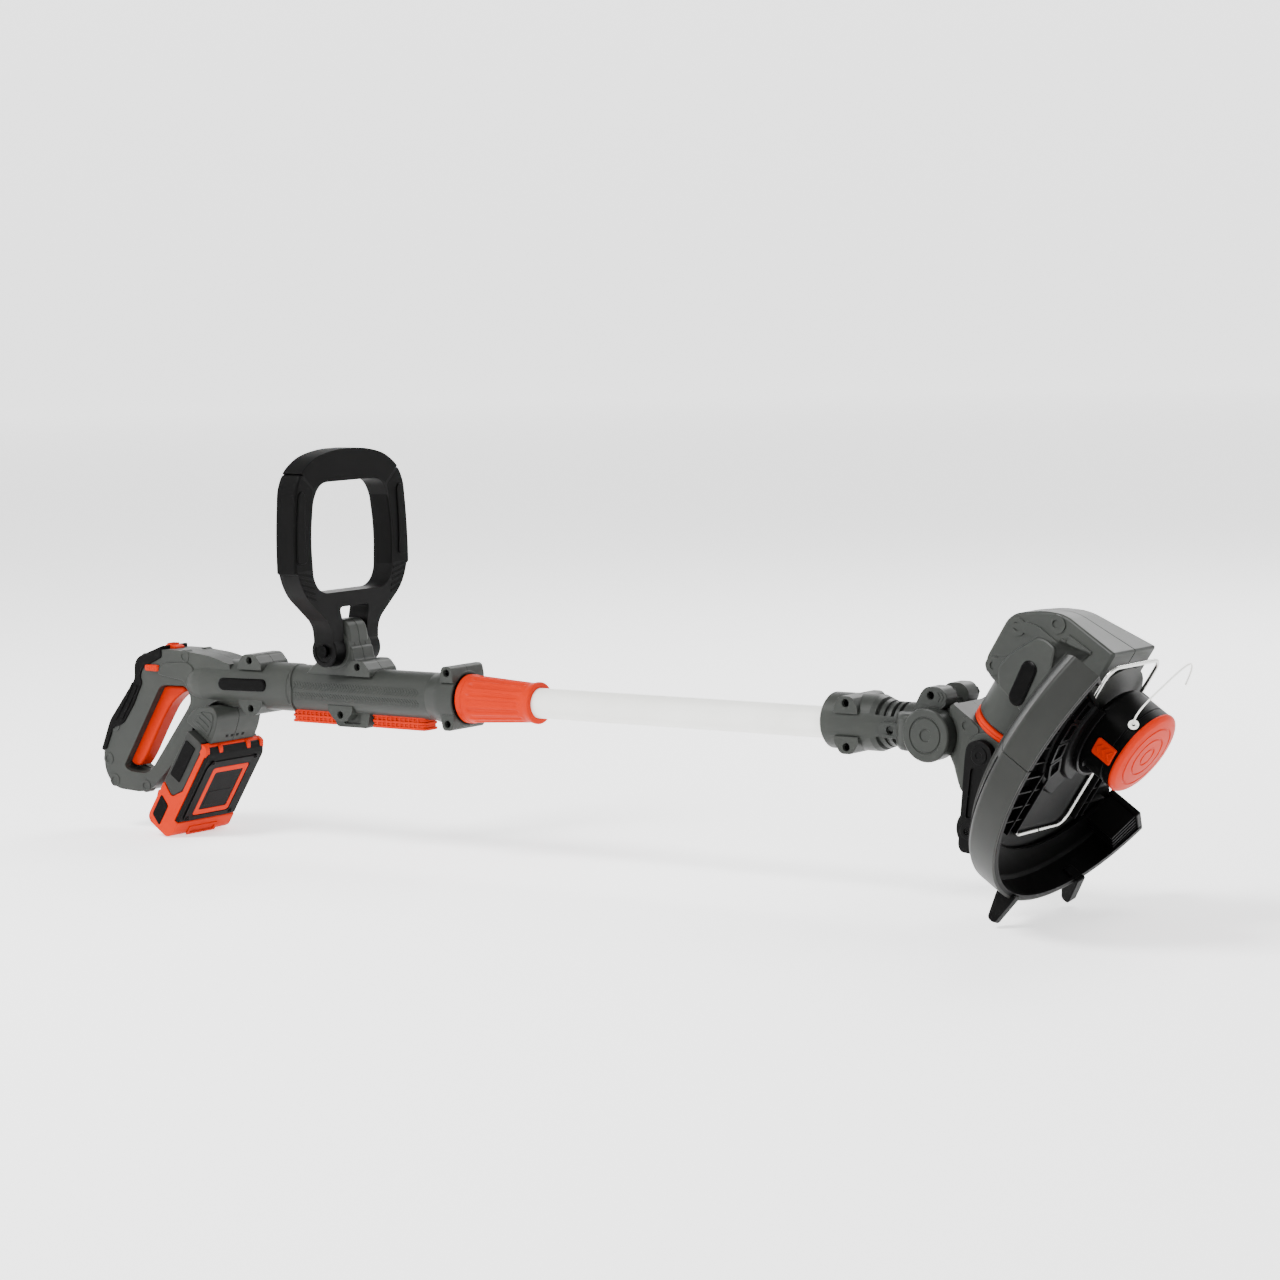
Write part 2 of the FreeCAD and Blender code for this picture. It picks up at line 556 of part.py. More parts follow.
def makeYoke():
    half = yokeHalf()
    wells = [recess(x, z, face) for x, z, face in yokeBosses]
    keep("yoke_shell_right", neckFrame, cut(half, *wells))
    keep("yoke_shell_left", neckFrame, cut(mirror(half), *wells))
    keep("yoke_screws", neckFrame, group(*[screw(x, z, face) for x, z, face in yokeBosses]))
    ring = cylinder("ringRadius", "ringThick-0.4", "ringTop-ringThick", 0, "swivelHeight", alongX)
    hole = cylinder("sleeveRadius", 30, "ringTop-20", 0, "swivelHeight", alongX)
    keep("swivel_ring", headFrame, cut(ring, hole))
    sleeve = cylinder("sleeveRadius", 27, "ringTop-ringThick-8", 0, "swivelHeight", alongX)
    bore = cylinder("sleeveRadius-3", 80, "ringTop-60", 0, "swivelHeight", alongX)
    keep("swivel_sleeve", headFrame, cut(sleeve, bore))


# ---- guide fork and roller ----

def makeFork():
    arm = slab("XZ_Plane", [[
        (329, -13), (331, -4), (341, 0), (351, -5), (353, -15), (345, -48),
        (338, -84), (334, -87), (324, -86), (321.5, -81), (325, -50),
    ]], "forkOuter-forkInner", "forkInner", 1)
    pinHole = cylinder("forkPin+runFit", 90, "forkX", -45, "forkZ", alongY)
    axleHole = cylinder("axleRadius", 90, "axleX", -45, "axleZ", alongY)
    bridge = box(5, "2*forkInner", 6, 324, "-forkInner", -54.2)
    keep("guide_fork", neckFrame, cut(fuse(arm, mirror(arm), bridge), pinHole, axleHole))
    pin = cylinder("forkPin", "2*forkOuter", "forkX", "-forkOuter", "forkZ", alongY)
    keep("guide_fork_pin", neckFrame, pin)
    axle = cylinder("axleRadius", "2*forkOuter", "axleX", "-forkOuter", "axleZ", alongY)
    keep("roller_axle", neckFrame, axle)


def makeRoller():
    """A drum that turns on the axle, with a softer sleeve let into its middle."""
    drum = cylinder("rollerRadius", "2*rollerHalf", "axleX", "-rollerHalf", "axleZ", alongY)
    bore = cylinder("axleRadius+runFit", 90, "axleX", -45, "axleZ", alongY)
    sleeve = cut(cylinder("rollerRadius", "2*sleeveHalf", "axleX", "-sleeveHalf", "axleZ", alongY),
                 cylinder("rollerRadius-sleeveThick", 90, "axleX", -45, "axleZ", alongY))
    keep("guide_roller_ends", neckFrame, cut(drum, bore, sleeve))
    keep("guide_roller_sleeve", neckFrame, sleeve)


# ---- motor head, in the head frame ----

housingOutline = [(60, 50), (61, 98), (53, 114), (35, "housingTop"), (-8, "housingTop"),
                  (-16, 129), (-20, 104), (-30, 70), (-38, 60), (-38, 50)]
housingInside = [(57, 53), (58, 97), (50.5, 112), (33.5, "housingTop-wall"), (-6.5, "housingTop-wall"),
                 (-13, 127), (-17, 104), (-27, 71), (-34, 61), (-34, 53)]
housingBosses = [(29, 128, 25), (53, 100, 25), (-6, 129, 25), (-24, 122, 24), (52, 58, 25), (-32, 58, 25)]


def housingHalf():
    block = slab("XZ_Plane", [housingOutline], "housingHalf", 0, 4)
    neck = cylinder("ringRadius", 34, "ringTop", 0, "swivelHeight", alongX)
    bosses = [boss(x, z, face) for x, z, face in housingBosses]
    whole = common(fuse(block, neck, *bosses), box(160, 60, 160, -70, -60, 20))
    inside = slab("XZ_Plane", [housingInside], "housingHalf-4")
    socket = cylinder("sleeveRadius+runFit", 30, "ringTop-4", 0, "swivelHeight", alongX)
    shaft = cylinder("shaftRadius+1", 30, 0, 0, 30)
    vents = [box(2.4, 12, 26, 44 - 6 * i, -38, 62 + 4 * i) for i in range(3)]
    posts = fuse(*[boss(x, z, "%s-1" % face) for x, z, face in housingBosses])
    return cut(whole, cut(inside, posts), socket, shaft, badgeRoom(), *vents)


housingBadge = [(-24, 92), (-20, 87), (16, 90), (20, 96), (16, 102), (-20, 99)]


def badgeRoom():
    return slab("XZ_Plane", [housingBadge], 10, "housingHalf-0.6")


def makeHousing():
    half = housingHalf()
    wells = [recess(x, z, face) for x, z, face in housingBosses]
    keep("motor_housing_right", headFrame, cut(half, *wells))
    keep("motor_housing_left", headFrame, cut(mirror(half), *wells))
    keep("housing_screws", headFrame, group(*[screw(x, z, face) for x, z, face in housingBosses]))
    keep("housing_badge", headFrame, slab("XZ_Plane", [housingBadge], 1.4, "housingHalf-0.6"))
    can = cylinder("motorRadius", "motorTop-motorBottom", 0, 0, "motorBottom")
    bore = cylinder("shaftRadius+0.6", 120, 0, 0, 30)
    keep("motor_can", headFrame, cut(can, bore))


guardScrewAngles = [146, 172, 204, 236, 260]


def guardScrewHoles():
    return [copyAt(cylinder("shankRadius", 20, "guardRadius-20", 0, 38), angle=angle)
            for angle in guardScrewAngles]


def makeGuardMain():
    """The deck round the motor, with the skirt of the near side."""
    deck = lathe([(14, "deckBottom"), (14, "deckTop"), ("guardRadius-14", "deckTop"),
                  ("guardRadius-14", "deckBottom")], "guardEnd-guardStart")
    deck = copyAt(deck, angle=sizes["guardStart"])
    hub = cut(cylinder(46, "deckTop-deckBottom", 0, 0, "deckBottom"), cylinder(14, 20, 0, 0, 40))
    band = lathe(skirtProfile("guardRadius-15", "guardRadius-15"), "guardEnd-guardSeam-0.2")
    band = copyAt(band, angle=sizes["guardSeam"] + 0.2)
    ribs = [copyAt(box(55, 2.4, 2.5, 62, -1.2, "deckBottom-2.5"), angle=angle)
            for angle in (140, 214, 228, 242, 256, 282, 296)]
    clips = [box(9, 10, "deckBottom-wireHeight+3.5", x, y, "wireHeight-3.5")
             for x in (16, -50) for y in ("wireHalf-5", "-wireHalf-5")]
    slots = [copyAt(box(26, 6, 20, 84, -3, 40), angle=angle) for angle in (150, 162, 198, 210, 222, 236)]
    keep("guard_main", headFrame,
         cut(fuse(deck, hub, band, *ribs, *clips), *wireBores(), *slots, *guardScrewHoles()))


def makeGuardExtension():
    """The skirt of the far side, with its flange under the deck, its end wall and its two feet."""
    flange = lathe(skirtProfile("guardRadius-26", "guardRadius-13.6", 2.8), "guardSeam-guardStart")
    flange = copyAt(flange, angle=sizes["guardStart"])
    feet = [copyAt(box("footLength+1.5", 9, 14, "guardRadius-1.5", -4.5, "skirtBottom-3"),
                   angle=180 + side * sizes["footSpread"]) for side in (-1, 1)]
    endWall = copyAt(box(28, 4, "deckBottom-skirtBottom-2.8", "guardRadius-29.5", 0, "skirtBottom"),
                     angle=sizes["guardStart"])
    ribsEnd = [copyAt(box(2, 26, 27, "guardRadius-5.4-%s" % (5 * i), 3.9, "skirtBottom+2"),
                      angle=sizes["guardStart"]) for i in range(4)]
    keep("guard_extension", headFrame, cut(fuse(flange, endWall, *feet, *ribsEnd), *guardScrewHoles()))


def makeGuardFittings():
    shank = cylinder("shankRadius", "deckTop-deckBottom+2.8", "guardRadius-20", 0, "deckBottom-2.8")
    head = cylinder("headRadius", "headHeight", "guardRadius-20", 0, "deckTop")
    whole = fuse(shank, head)
    keep("guard_screws", headFrame, group(*[copyAt(whole, angle=angle) for angle in guardScrewAngles]))
    blade = copyAt(box(16, 1.2, 22, "guardRadius-24", -1.3, "skirtBottom+3"), angle=sizes["guardStart"])
    keep("line_cutter_blade", headFrame, blade)


def skirtProfile(inner, step, lip=0):
    """The chamfered band and the skirt, from the deck's edge outwards and down, with a lip under the deck."""
    under = "deckBottom-%s" % lip
    start = [(inner, under), (inner, "deckBottom"), (step, "deckBottom"), (step, "deckTop")] if lip else [
        (inner, "deckBottom"), (inner, "deckTop")]
    return start + [("guardRadius-bandWidth", "deckTop"), ("guardRadius", 44), ("guardRadius", "skirtBottom"),
                    ("guardRadius-guardWall", "skirtBottom"), ("guardRadius-guardWall", 42.8),
                    ("guardRadius-bandWidth-0.9", under)]


def wireBores():
    return [cylinder("wireRadius+runFit", 200, -120, y, "wireHeight", alongX)
            for y in ("wireHalf", "-wireHalf")]


def makeWire():
    """The plant guard: one round wire bent to a rectangle with its ends meeting at the back."""
    bend = 10
    half = sizes["wireHalf"]
    front = sizes["wireFront"]
    rear = sizes["wireRear"]
    height = sizes["wireHeight"]
    corners = [(rear, 1), (rear, half), (front, half), (front, -half), (rear, -half), (rear, -1)]
    path = roundedPath([FreeCAD.Vector(x, y, height) for x, y in corners], lambda a, b, turn: bend)
    keep("wire_guard", headFrame, pipe("Wire", path, sizes["wireRadius"]))


def roundedPath(points, radiusOf):
    """Straight runs joined by tangent arcs; radiusOf gives each corner's radius from its runs and turn."""
    edges = []
    start = points[0]
    for before, corner, after in zip(points, points[1:], points[2:]):
        back = before - corner
        ahead = after - corner
        turn = math.pi - back.getAngle(ahead)
        radius = radiusOf(back.Length, ahead.Length, turn)
        reach = radius * math.tan(turn / 2)
        back.normalize()
        ahead.normalize()
        entry = corner + back * reach
        leave = corner + ahead * reach
        middle = back + ahead
        middle.normalize()
        deep = corner + middle * (radius / math.cos(turn / 2) - radius)
        edges.append(Part.LineSegment(start, entry).toShape())
        edges.append(Part.Arc(entry, deep, leave).toShape())
        start = leave
    edges.append(Part.LineSegment(start, points[-1]).toShape())
    return Part.Wire(edges)


def pipe(name, path, radius):
    first = path.OrderedEdges[0]
    rim = Part.Wire(Part.makeCircle(radius, first.Vertexes[0].Point, first.tangentAt(first.FirstParameter)))
    item = doc.addObject("Part::Feature", name)
    item.Shape = path.makePipeShell([rim], True, False)
    return item


# ---- spool ----

def makeSpool():
    cup = lathe([("shaftRadius", 36), ("spoolRadius-spoolWall", 36),
                 ("spoolRadius-spoolWall", "capHeight+0.4"), ("spoolRadius", "capHeight+0.4"),
                 ("spoolRadius", "spoolTop-4"), ("spoolRadius-5", "spoolTop"), (12, "spoolTop"),
                 (10, 49.5), ("shaftRadius", 49.5)])
    windows = [copyAt(box(14, 15, 21, "spoolRadius-8", -7.5, 5), angle=angle)
               for angle in (tabAngle, tabAngle + 180)]
    bores = [copyAt(cylinder(3.2, 12, "spoolRadius-8", 0, "eyeHeight", alongX), angle=angle)
             for angle in (eyeAngle, eyeAngle + 180)]
    keep("spool_housing", headFrame, cut(cup, *windows, *bores))
    disc = lathe([(0, 0), ("spoolRadius-10", 0), ("spoolRadius-1.5", 1.2), ("spoolRadius+0.6", 3.6),
                  ("spoolRadius+0.6", "capHeight"), ("spoolRadius-3", "capHeight"),
                  ("spoolRadius-3", 3), (0, 3)])
    tabs = [copyAt(box(3, 14, 21, "spoolRadius-2.8", -7, 4), angle=angle)
            for angle in (tabAngle, tabAngle + 180)]
    keep("spool_cap", headFrame, fuse(disc, *tabs))
    eyes = [copyAt(cut(cylinder(3.2, 4.6, "spoolRadius-3", 0, "eyeHeight", alongX),
                       cylinder("lineRadius+0.4", 9, "spoolRadius-5", 0, "eyeHeight", alongX)),
                   angle=angle) for angle in (eyeAngle, eyeAngle + 180)]
    keep("line_eyelets", headFrame, group(*eyes))
    reel = lathe([(5, 5), (27, 5), (27, 7), (11, 7), (11, 24), (27, 24), (27, 26), (9, 26), (9, 9), (5, 9)])
    keep("line_spool", headFrame, reel)
    keep("line_winding", headFrame, lathe([(11, 7.2), (24, 7.2), (24, 23.8), (11, 23.8)]))
    coil = Part.makeHelix(3.4, 22, 6.6)
    start = Part.Wire(Part.makeCircle(0.6, FreeCAD.Vector(6.6, 0, 0), FreeCAD.Vector(0, 1, 0)))
    spring = doc.addObject("Part::Feature", "Coil")
    spring.Shape = Part.Wire(coil.Edges).makePipeShell([start], True, True)
    keep("bump_spring", headFrame, copyAt(spring, z=10.5))
    keep("motor_shaft", headFrame, cylinder("shaftRadius", 72, 0, 0, 30))


tabAngle = -95
eyeAngle = -46
linePoints = [
    (426.5, -25.8, 17.4), (428.8, -29.3, 20.8), (433.2, -29.6, 27.4), (438.7, -24.4, 35.5),
    (444.1, -15.5, 43.6), (449.2, -7.5, 51.0), (453.4, 0.5, 57.2), (455.0, 8.5, 59.7),
    (452.5, 15.0, 56.0), (448.1, 19.0, 49.4), (443.0, 21.8, 41.9),
]  # in the finished frame of a tube of the length given above


def lineRadius(before, after, turn):
    radius = 0.45 * min(before, after) / math.tan(turn / 2)
    print("cutting line radius %.1f mm" % radius)
    return radius


def makeLine():
    path = roundedPath([FreeCAD.Vector(*point) for point in linePoints], lineRadius)
    print("cutting line length %.1f mm" % path.Length)
    ends = FreeCAD.Placement(FreeCAD.Vector(neckShift / 2, 0, 0), upright)
    keep("cutting_line", ends, pipe("Line", path, sizes["lineRadius"]))


# ---- everything ----

makeBody()
makeControls()
makeLoop()
makeBattery()
makeTube()
makeNeck()
makeYoke()
makeFork()
makeRoller()
makeHousing()
makeGuardMain()
makeGuardExtension()
makeGuardFittings()
makeWire()
makeSpool()
makeLine()
doc.recompute()

failed = [item.Name for item in doc.Objects if "Invalid" in item.State or "Error" in item.State]
failed += [item.Label for item in nodes if item.Shape.isNull() or not item.Shape.isValid()]
if failed:
    raise RuntimeError("these did not build: %s" % ", ".join(failed))
os.makedirs("parts", exist_ok=True)
for item in nodes:
    item.Shape.exportStep("parts/%s.step" % item.Label)
print("%d sub-parts written" % len(nodes))
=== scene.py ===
import json
import math
import bmesh
import bpy
from mathutils import Matrix, Vector
from mathutils.geometry import tessellate_polygon


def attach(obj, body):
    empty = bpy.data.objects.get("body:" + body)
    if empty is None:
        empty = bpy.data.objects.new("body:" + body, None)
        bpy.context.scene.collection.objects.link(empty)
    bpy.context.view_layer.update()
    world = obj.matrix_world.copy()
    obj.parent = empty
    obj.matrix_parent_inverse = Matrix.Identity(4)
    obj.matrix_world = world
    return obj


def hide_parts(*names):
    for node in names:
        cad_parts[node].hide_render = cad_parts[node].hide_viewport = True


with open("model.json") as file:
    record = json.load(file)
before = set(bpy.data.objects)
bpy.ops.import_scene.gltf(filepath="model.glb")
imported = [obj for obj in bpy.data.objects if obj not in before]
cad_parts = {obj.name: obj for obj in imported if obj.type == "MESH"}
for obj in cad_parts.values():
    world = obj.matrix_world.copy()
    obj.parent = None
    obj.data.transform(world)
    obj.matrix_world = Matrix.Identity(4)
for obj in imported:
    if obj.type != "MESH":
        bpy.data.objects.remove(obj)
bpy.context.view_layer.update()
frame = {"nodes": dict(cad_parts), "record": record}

mm = 0.001

# Camera: where it stands is set by its bearing, height and distance from the aim point.
view = {"aim": (-0.0415, 0.0, 0.0567), "bearing": 37.615, "rise": 5.777, "roll": -1.469, "distance": 2.946,
        "lens": 102.96, "sensor": 36.0}


def makeCamera():
    bearing = math.radians(view["bearing"])
    rise = math.radians(view["rise"])
    roll = math.radians(view["roll"])
    back = Vector((math.sin(bearing) * math.cos(rise), -math.cos(bearing) * math.cos(rise), math.sin(rise)))
    right = Vector((math.cos(bearing), math.sin(bearing), 0))
    up = back.cross(right)
    across = right * math.cos(roll) + up * math.sin(roll)
    upward = up * math.cos(roll) - right * math.sin(roll)
    data = bpy.data.cameras.new("camera")
    data.lens = view["lens"]
    data.sensor_width = view["sensor"]
    data.clip_end = 20
    camera = bpy.data.objects.new("camera", data)
    place = Matrix((across, upward, back)).transposed().to_4x4()
    place.translation = Vector(view["aim"]) + back * view["distance"]
    camera.matrix_world = place
    bpy.context.scene.collection.objects.link(camera)
    bpy.context.scene.camera = camera


makeCamera()
print("camera placed")


def linear(code, alpha=1.0):
    # sRGB hex to the linear values that the shader wants
    parts = [int(code[i:i + 2], 16) / 255 for i in (1, 3, 5)]
    return tuple(c / 12.92 if c <= 0.04045 else ((c + 0.055) / 1.055) ** 2.4 for c in parts) + (alpha,)


def addNode(tree, kind, settings=None, links=None):
    # settings: socket or property values; links: input name -> (node, output name)
    node = tree.nodes.new(kind)
    for key, value in (settings or {}).items():
        if key in node.inputs:
            node.inputs[key].default_value = value
        else:
            setattr(node, key, value)
    for key, (source, output) in (links or {}).items():
        tree.links.new(source.outputs[output], node.inputs[key])
    return node


def startMaterial(name, shader):
    material = bpy.data.materials.new(name)
    material.use_nodes = True
    tree = material.node_tree
    tree.nodes.clear()
    out = addNode(tree, "ShaderNodeOutputMaterial")
    surface = addNode(tree, "ShaderNodeBsdfPrincipled", shader)
    tree.links.new(surface.outputs["BSDF"], out.inputs["Surface"])
    place = addNode(tree, "ShaderNodeTexCoord")
    return material, tree, surface, place


def mouldedPlastic(name, low, high, roughness, grainMm, depthMm, specular=0.45):
    # injection-moulded plastic: a spark-eroded grain that softens the highlight, and a faint flow mottling
    material, tree, surface, place = startMaterial(name, {"Specular IOR Level": specular, "IOR": 1.5})
    flow = addNode(tree, "ShaderNodeTexNoise", {"Scale": 1 / 0.045, "Detail": 3.0},
                   {"Vector": (place, "Object")})
    tint = addNode(tree, "ShaderNodeValToRGB", None, {"Fac": (flow, "Fac")})
    tint.color_ramp.elements[0].position = 0.3
    tint.color_ramp.elements[1].position = 0.7
    tint.color_ramp.elements[0].color = linear(low)
    tint.color_ramp.elements[1].color = linear(high)
    grain = addNode(tree, "ShaderNodeTexNoise", {"Scale": 1 / (grainMm * mm), "Detail": 2.0},
                    {"Vector": (place, "Object")})
    bump = addNode(tree, "ShaderNodeBump", {"Strength": 0.5, "Distance": depthMm * mm},
                   {"Height": (grain, "Fac")})
    gloss = addNode(tree, "ShaderNodeMapRange", {"To Min": roughness - 0.05, "To Max": roughness + 0.05},
                    {"Value": (flow, "Fac")})
    tree.links.new(tint.outputs["Color"], surface.inputs["Base Color"])
    tree.links.new(gloss.outputs["Result"], surface.inputs["Roughness"])
    tree.links.new(bump.outputs["Normal"], surface.inputs["Normal"])
    return material


def brushedMetal(name, low, high, roughness, stretch, lineMm):
    # drawn or turned metal: fine lines along the way it was worked
    material, tree, surface, place = startMaterial(name, {"Metallic": 1.0})
    along = addNode(tree, "ShaderNodeMapping", {"Scale": stretch}, {"Vector": (place, "Object")})
    lines = addNode(tree, "ShaderNodeTexNoise", {"Scale": 1 / (lineMm * mm), "Detail": 4.0},
                    {"Vector": (along, "Vector")})
    tint = addNode(tree, "ShaderNodeValToRGB", None, {"Fac": (lines, "Fac")})
    tint.color_ramp.elements[0].color = linear(low)
    tint.color_ramp.elements[1].color = linear(high)
    gloss = addNode(tree, "ShaderNodeMapRange", {"To Min": roughness - 0.08, "To Max": roughness + 0.08},
                    {"Value": (lines, "Fac")})
    bump = addNode(tree, "ShaderNodeBump", {"Strength": 0.15, "Distance": 0.02 * mm},
                   {"Height": (lines, "Fac")})
    tree.links.new(tint.outputs["Color"], surface.inputs["Base Color"])
    tree.links.new(gloss.outputs["Result"], surface.inputs["Roughness"])
    tree.links.new(bump.outputs["Normal"], surface.inputs["Normal"])
    return material


finishes = {
    # grained ABS: even and dull, with wide soft highlights
    "greyAbs": mouldedPlastic("mouldedGreyAbs", "#272927", "#2c2e2b", 0.42, 0.55, 0.05, 0.16),
    "darkAbs": mouldedPlastic("mouldedDarkGreyAbs", "#1f201e", "#242523", 0.45, 0.55, 0.05, 0.14),
    # polypropylene and the soft elastomer over it: deeper black, waxy and nearly without highlights
    "blackPp": mouldedPlastic("mouldedBlackPolypropylene", "#020202", "#040404", 0.42, 0.6, 0.05, 0.07),
    "softTpe": mouldedPlastic("softBlackElastomer", "#020202", "#040404", 0.58, 0.7, 0.09, 0.06),
    # coloured through, a little smoother than the grey
    "orangeAbs": mouldedPlastic("mouldedOrangeAbs", "#a81d00", "#b32300", 0.38, 0.6, 0.03, 0.05),
    # satin paint on drawn tube: a clean narrow highlight along it
    "whiteTube": mouldedPlastic("satinPaintedAluminiumTube", "#e6e6e0", "#efefea", 0.3, 0.9, 0.01),
    # drawn, blackened and stamped metal: bright, nearly black and yellow, with fine working lines
    "steelWire": brushedMetal("brightDrawnSteel", "#b9b9b6", "#dadad6", 0.25, (1, 1, 1), 0.4),
    "blackSteel": brushedMetal("blackOxideSteel", "#050505", "#0c0c0c", 0.5, (1, 1, 1), 0.4),
    "brassContact": brushedMetal("stampedBrass", "#b0904a", "#d8b866", 0.3, (1, 1, 1), 0.4),
    # lacquer, shrink film, nylon and polished resin: smooth skins that take a sharper reflection
    "circuitBoard": mouldedPlastic("solderMaskBoard", "#0f4a22", "#15582b", 0.35, 0.8, 0.02),
    "cellWrap": mouldedPlastic("cellShrinkWrap", "#1c4f7c", "#235f94", 0.3, 1.0, 0.02),
    "nylonLine": mouldedPlastic("extrudedNylonLine", "#d9d9d4", "#ecece8", 0.25, 1.5, 0.01),
    "glossBlack": mouldedPlastic("glossBlackBadgeResin", "#010101", "#020202", 0.25, 1.2, 0.004, 0.05),
}

# Which finish each CAD node takes, those that a detailed piece stands in for included.
nodeFinish = {
    "greyAbs": ["handle_shell_right", "handle_shell_left", "neck_shell_right", "neck_shell_left",
                "yoke_shell_right", "yoke_shell_left", "motor_housing_right", "motor_housing_left",
                "tilt_discs", "guide_roller_sleeve"],
    "darkAbs": ["guard_main", "guard_extension", "battery_upper_shell", "battery_label_plate"],
    "blackPp": ["loop_frame", "guide_fork", "guide_roller_ends", "spool_housing", "line_spool",
                "tube_guide_bush", "terminal_block", "swivel_sleeve", "trigger_switch"],
    "softTpe": ["rear_grip_pad", "loop_grip_cover"],
    "orangeAbs": ["trigger", "lock_off_button", "lock_on_button", "spare_blades_rear", "spare_blades_front",
                  "battery_lower_shell", "battery_release_tab", "lock_collar", "swivel_ring", "spool_cap"],
    "whiteTube": ["telescopic_tube"],
    "steelWire": ["wire_guard", "motor_shaft", "motor_can", "line_cutter_blade", "line_eyelets",
                  "bump_spring", "roller_axle", "tilt_pin", "guide_fork_pin", "loop_pivot_nut",
                  "detent_washers"],
    "blackSteel": ["body_screws", "neck_screws", "yoke_screws", "housing_screws", "guard_screws",
                   "loop_pivot_bolt"],
    "brassContact": ["battery_terminals"],
    "circuitBoard": ["control_board"],
    "cellWrap": ["battery_cells"],
    "nylonLine": ["line_winding"],
    "glossBlack": ["body_badge", "housing_badge"],
}


def dressNodes():
    for finish, names in nodeFinish.items():
        for name in names:
            mesh = frame["nodes"][name].data
            mesh.materials.clear()
            mesh.materials.append(finishes[finish])


dressNodes()
print("CAD nodes dressed")

# The detailed pieces are drawn in millimetres in their own frame, with +Y to the left.

capPlace = next(mount["pos_m"] for mount in frame["record"]["mounts"] if mount["name"] == "bump_face")
layout = {"tubeMiddle": 41.5 * mm, "headAngle": -56, "leg": (-521.5 * mm, 0, -51.8 * mm), "legAngle": 34}
frames = {
    "shaft": Matrix.Translation((-layout["tubeMiddle"], 0, 0)) @ Matrix.Scale(mm, 4),
    "head": Matrix.Translation(capPlace) @ Matrix.Rotation(math.radians(layout["headAngle"]), 4, "Y")
    @ Matrix.Scale(mm, 4),
    "leg": Matrix.Translation(layout["leg"]) @ Matrix.Rotation(math.radians(layout["legAngle"]), 4, "Y")
    @ Matrix.Scale(mm, 4),
}
axes = {"XZ": Vector((0, 1, 0)), "YZ": Vector((1, 0, 0)), "XY": Vector((0, 0, 1))}
lays = {"X": Matrix(((0, 0, 1), (0, -1, 0), (1, 0, 0))), "Y": Matrix(((0, 1, 0), (0, 0, 1), (1, 0, 0))),
        "Z": Matrix.Identity(3)}
spots = {"XZ": lambda u, v, at: (u, at, v), "YZ": lambda u, v, at: (at, u, v),
         "XY": lambda u, v, at: (u, v, at)}


seam = -0.15      # each moulded half stops this far short of the parting plane


def circle(u, v, radius, count=20):
    return [(u + radius * math.cos(2 * math.pi * i / count), v + radius * math.sin(2 * math.pi * i / count))
            for i in range(count)]


def box(u, v, endU, endV, corner=None):
    # a rectangle between two opposite corners, with all its corners rounded alike
    places = ((u, v), (endU, v), (endU, endV), (u, endV))
    return [place if corner is None else (*place, corner) for place in places]


def capsule(u, v, endU, endV, radius, ends=None):
    # two half circles, of one radius or of two, joined by straight sides
    angle = math.atan2(endV - v, endU - u)
    other = radius if ends is None else ends
    first = [(u + radius * math.cos(angle + math.pi * (0.5 + i / 8)),
              v + radius * math.sin(angle + math.pi * (0.5 + i / 8))) for i in range(9)]
    return first + [(endU + other * math.cos(angle + math.pi * (i / 8 - 0.5)),
                     endV + other * math.sin(angle + math.pi * (i / 8 - 0.5))) for i in range(9)]


def joined(*shapes):
    for extra in shapes[1:]:
        scratch = bpy.data.meshes.new("scratch")
        extra.to_mesh(scratch)
        extra.free()
        shapes[0].from_mesh(scratch)
        bpy.data.meshes.remove(scratch)
    return shapes[0]


def outlineFace(shape, points, at, plane):
    # points: (u, v) or (u, v, corner radius)
    verts = [shape.verts.new(spots[plane](point[0], point[1], at)) for point in points]
    shape.faces.new(verts)
    for radius in sorted({point[2] for point in points if len(point) > 2}):
        corners = [vert for vert, point in zip(verts, points) if len(point) > 2 and point[2] == radius]
        bmesh.ops.bevel(shape, geom=corners, offset=radius, offset_type="OFFSET", affect="VERTICES",
                        segments=5, profile=0.5, material=-1, clamp_overlap=True)
    bmesh.ops.remove_doubles(shape, verts=shape.verts, dist=0.02)


def slab(points, start, end, plane="XZ", edge=1.0, steps=2, holes=(), lip=0.0):
    # an outline pushed from start to end; edge rounds the rims of its far side and lip those of its near side
    shape = bmesh.new()
    outlineFace(shape, points, start, plane)
    for hole in holes:
        outlineFace(shape, hole, start, plane)
    if holes:
        loops = [list(face.verts) for face in shape.faces]
        bmesh.ops.delete(shape, geom=shape.faces[:], context="FACES_ONLY")
        corners = [vert for loop in loops for vert in loop]
        for triangle in tessellate_polygon([[vert.co for vert in loop] for loop in loops]):
            shape.faces.new([corners[i] for i in triangle])
    pushed = bmesh.ops.extrude_face_region(shape, geom=shape.faces[:])
    top = [item for item in pushed["geom"] if isinstance(item, bmesh.types.BMVert)]
    bmesh.ops.translate(shape, verts=top, vec=axes[plane] * (end - start))
    bmesh.ops.recalc_face_normals(shape, faces=shape.faces[:])
    for level, width in ((end, edge), (start, lip)):
        if width:
            rim = [item for item in shape.edges if item.calc_face_angle(0) > 0.8
                   and all(abs(vert.co.dot(axes[plane]) - level) < 0.001 for vert in item.verts)]
            bmesh.ops.bevel(shape, geom=rim, offset=width, affect="EDGES", segments=steps, profile=0.5,
                            material=-1, clamp_overlap=True)
    return shape


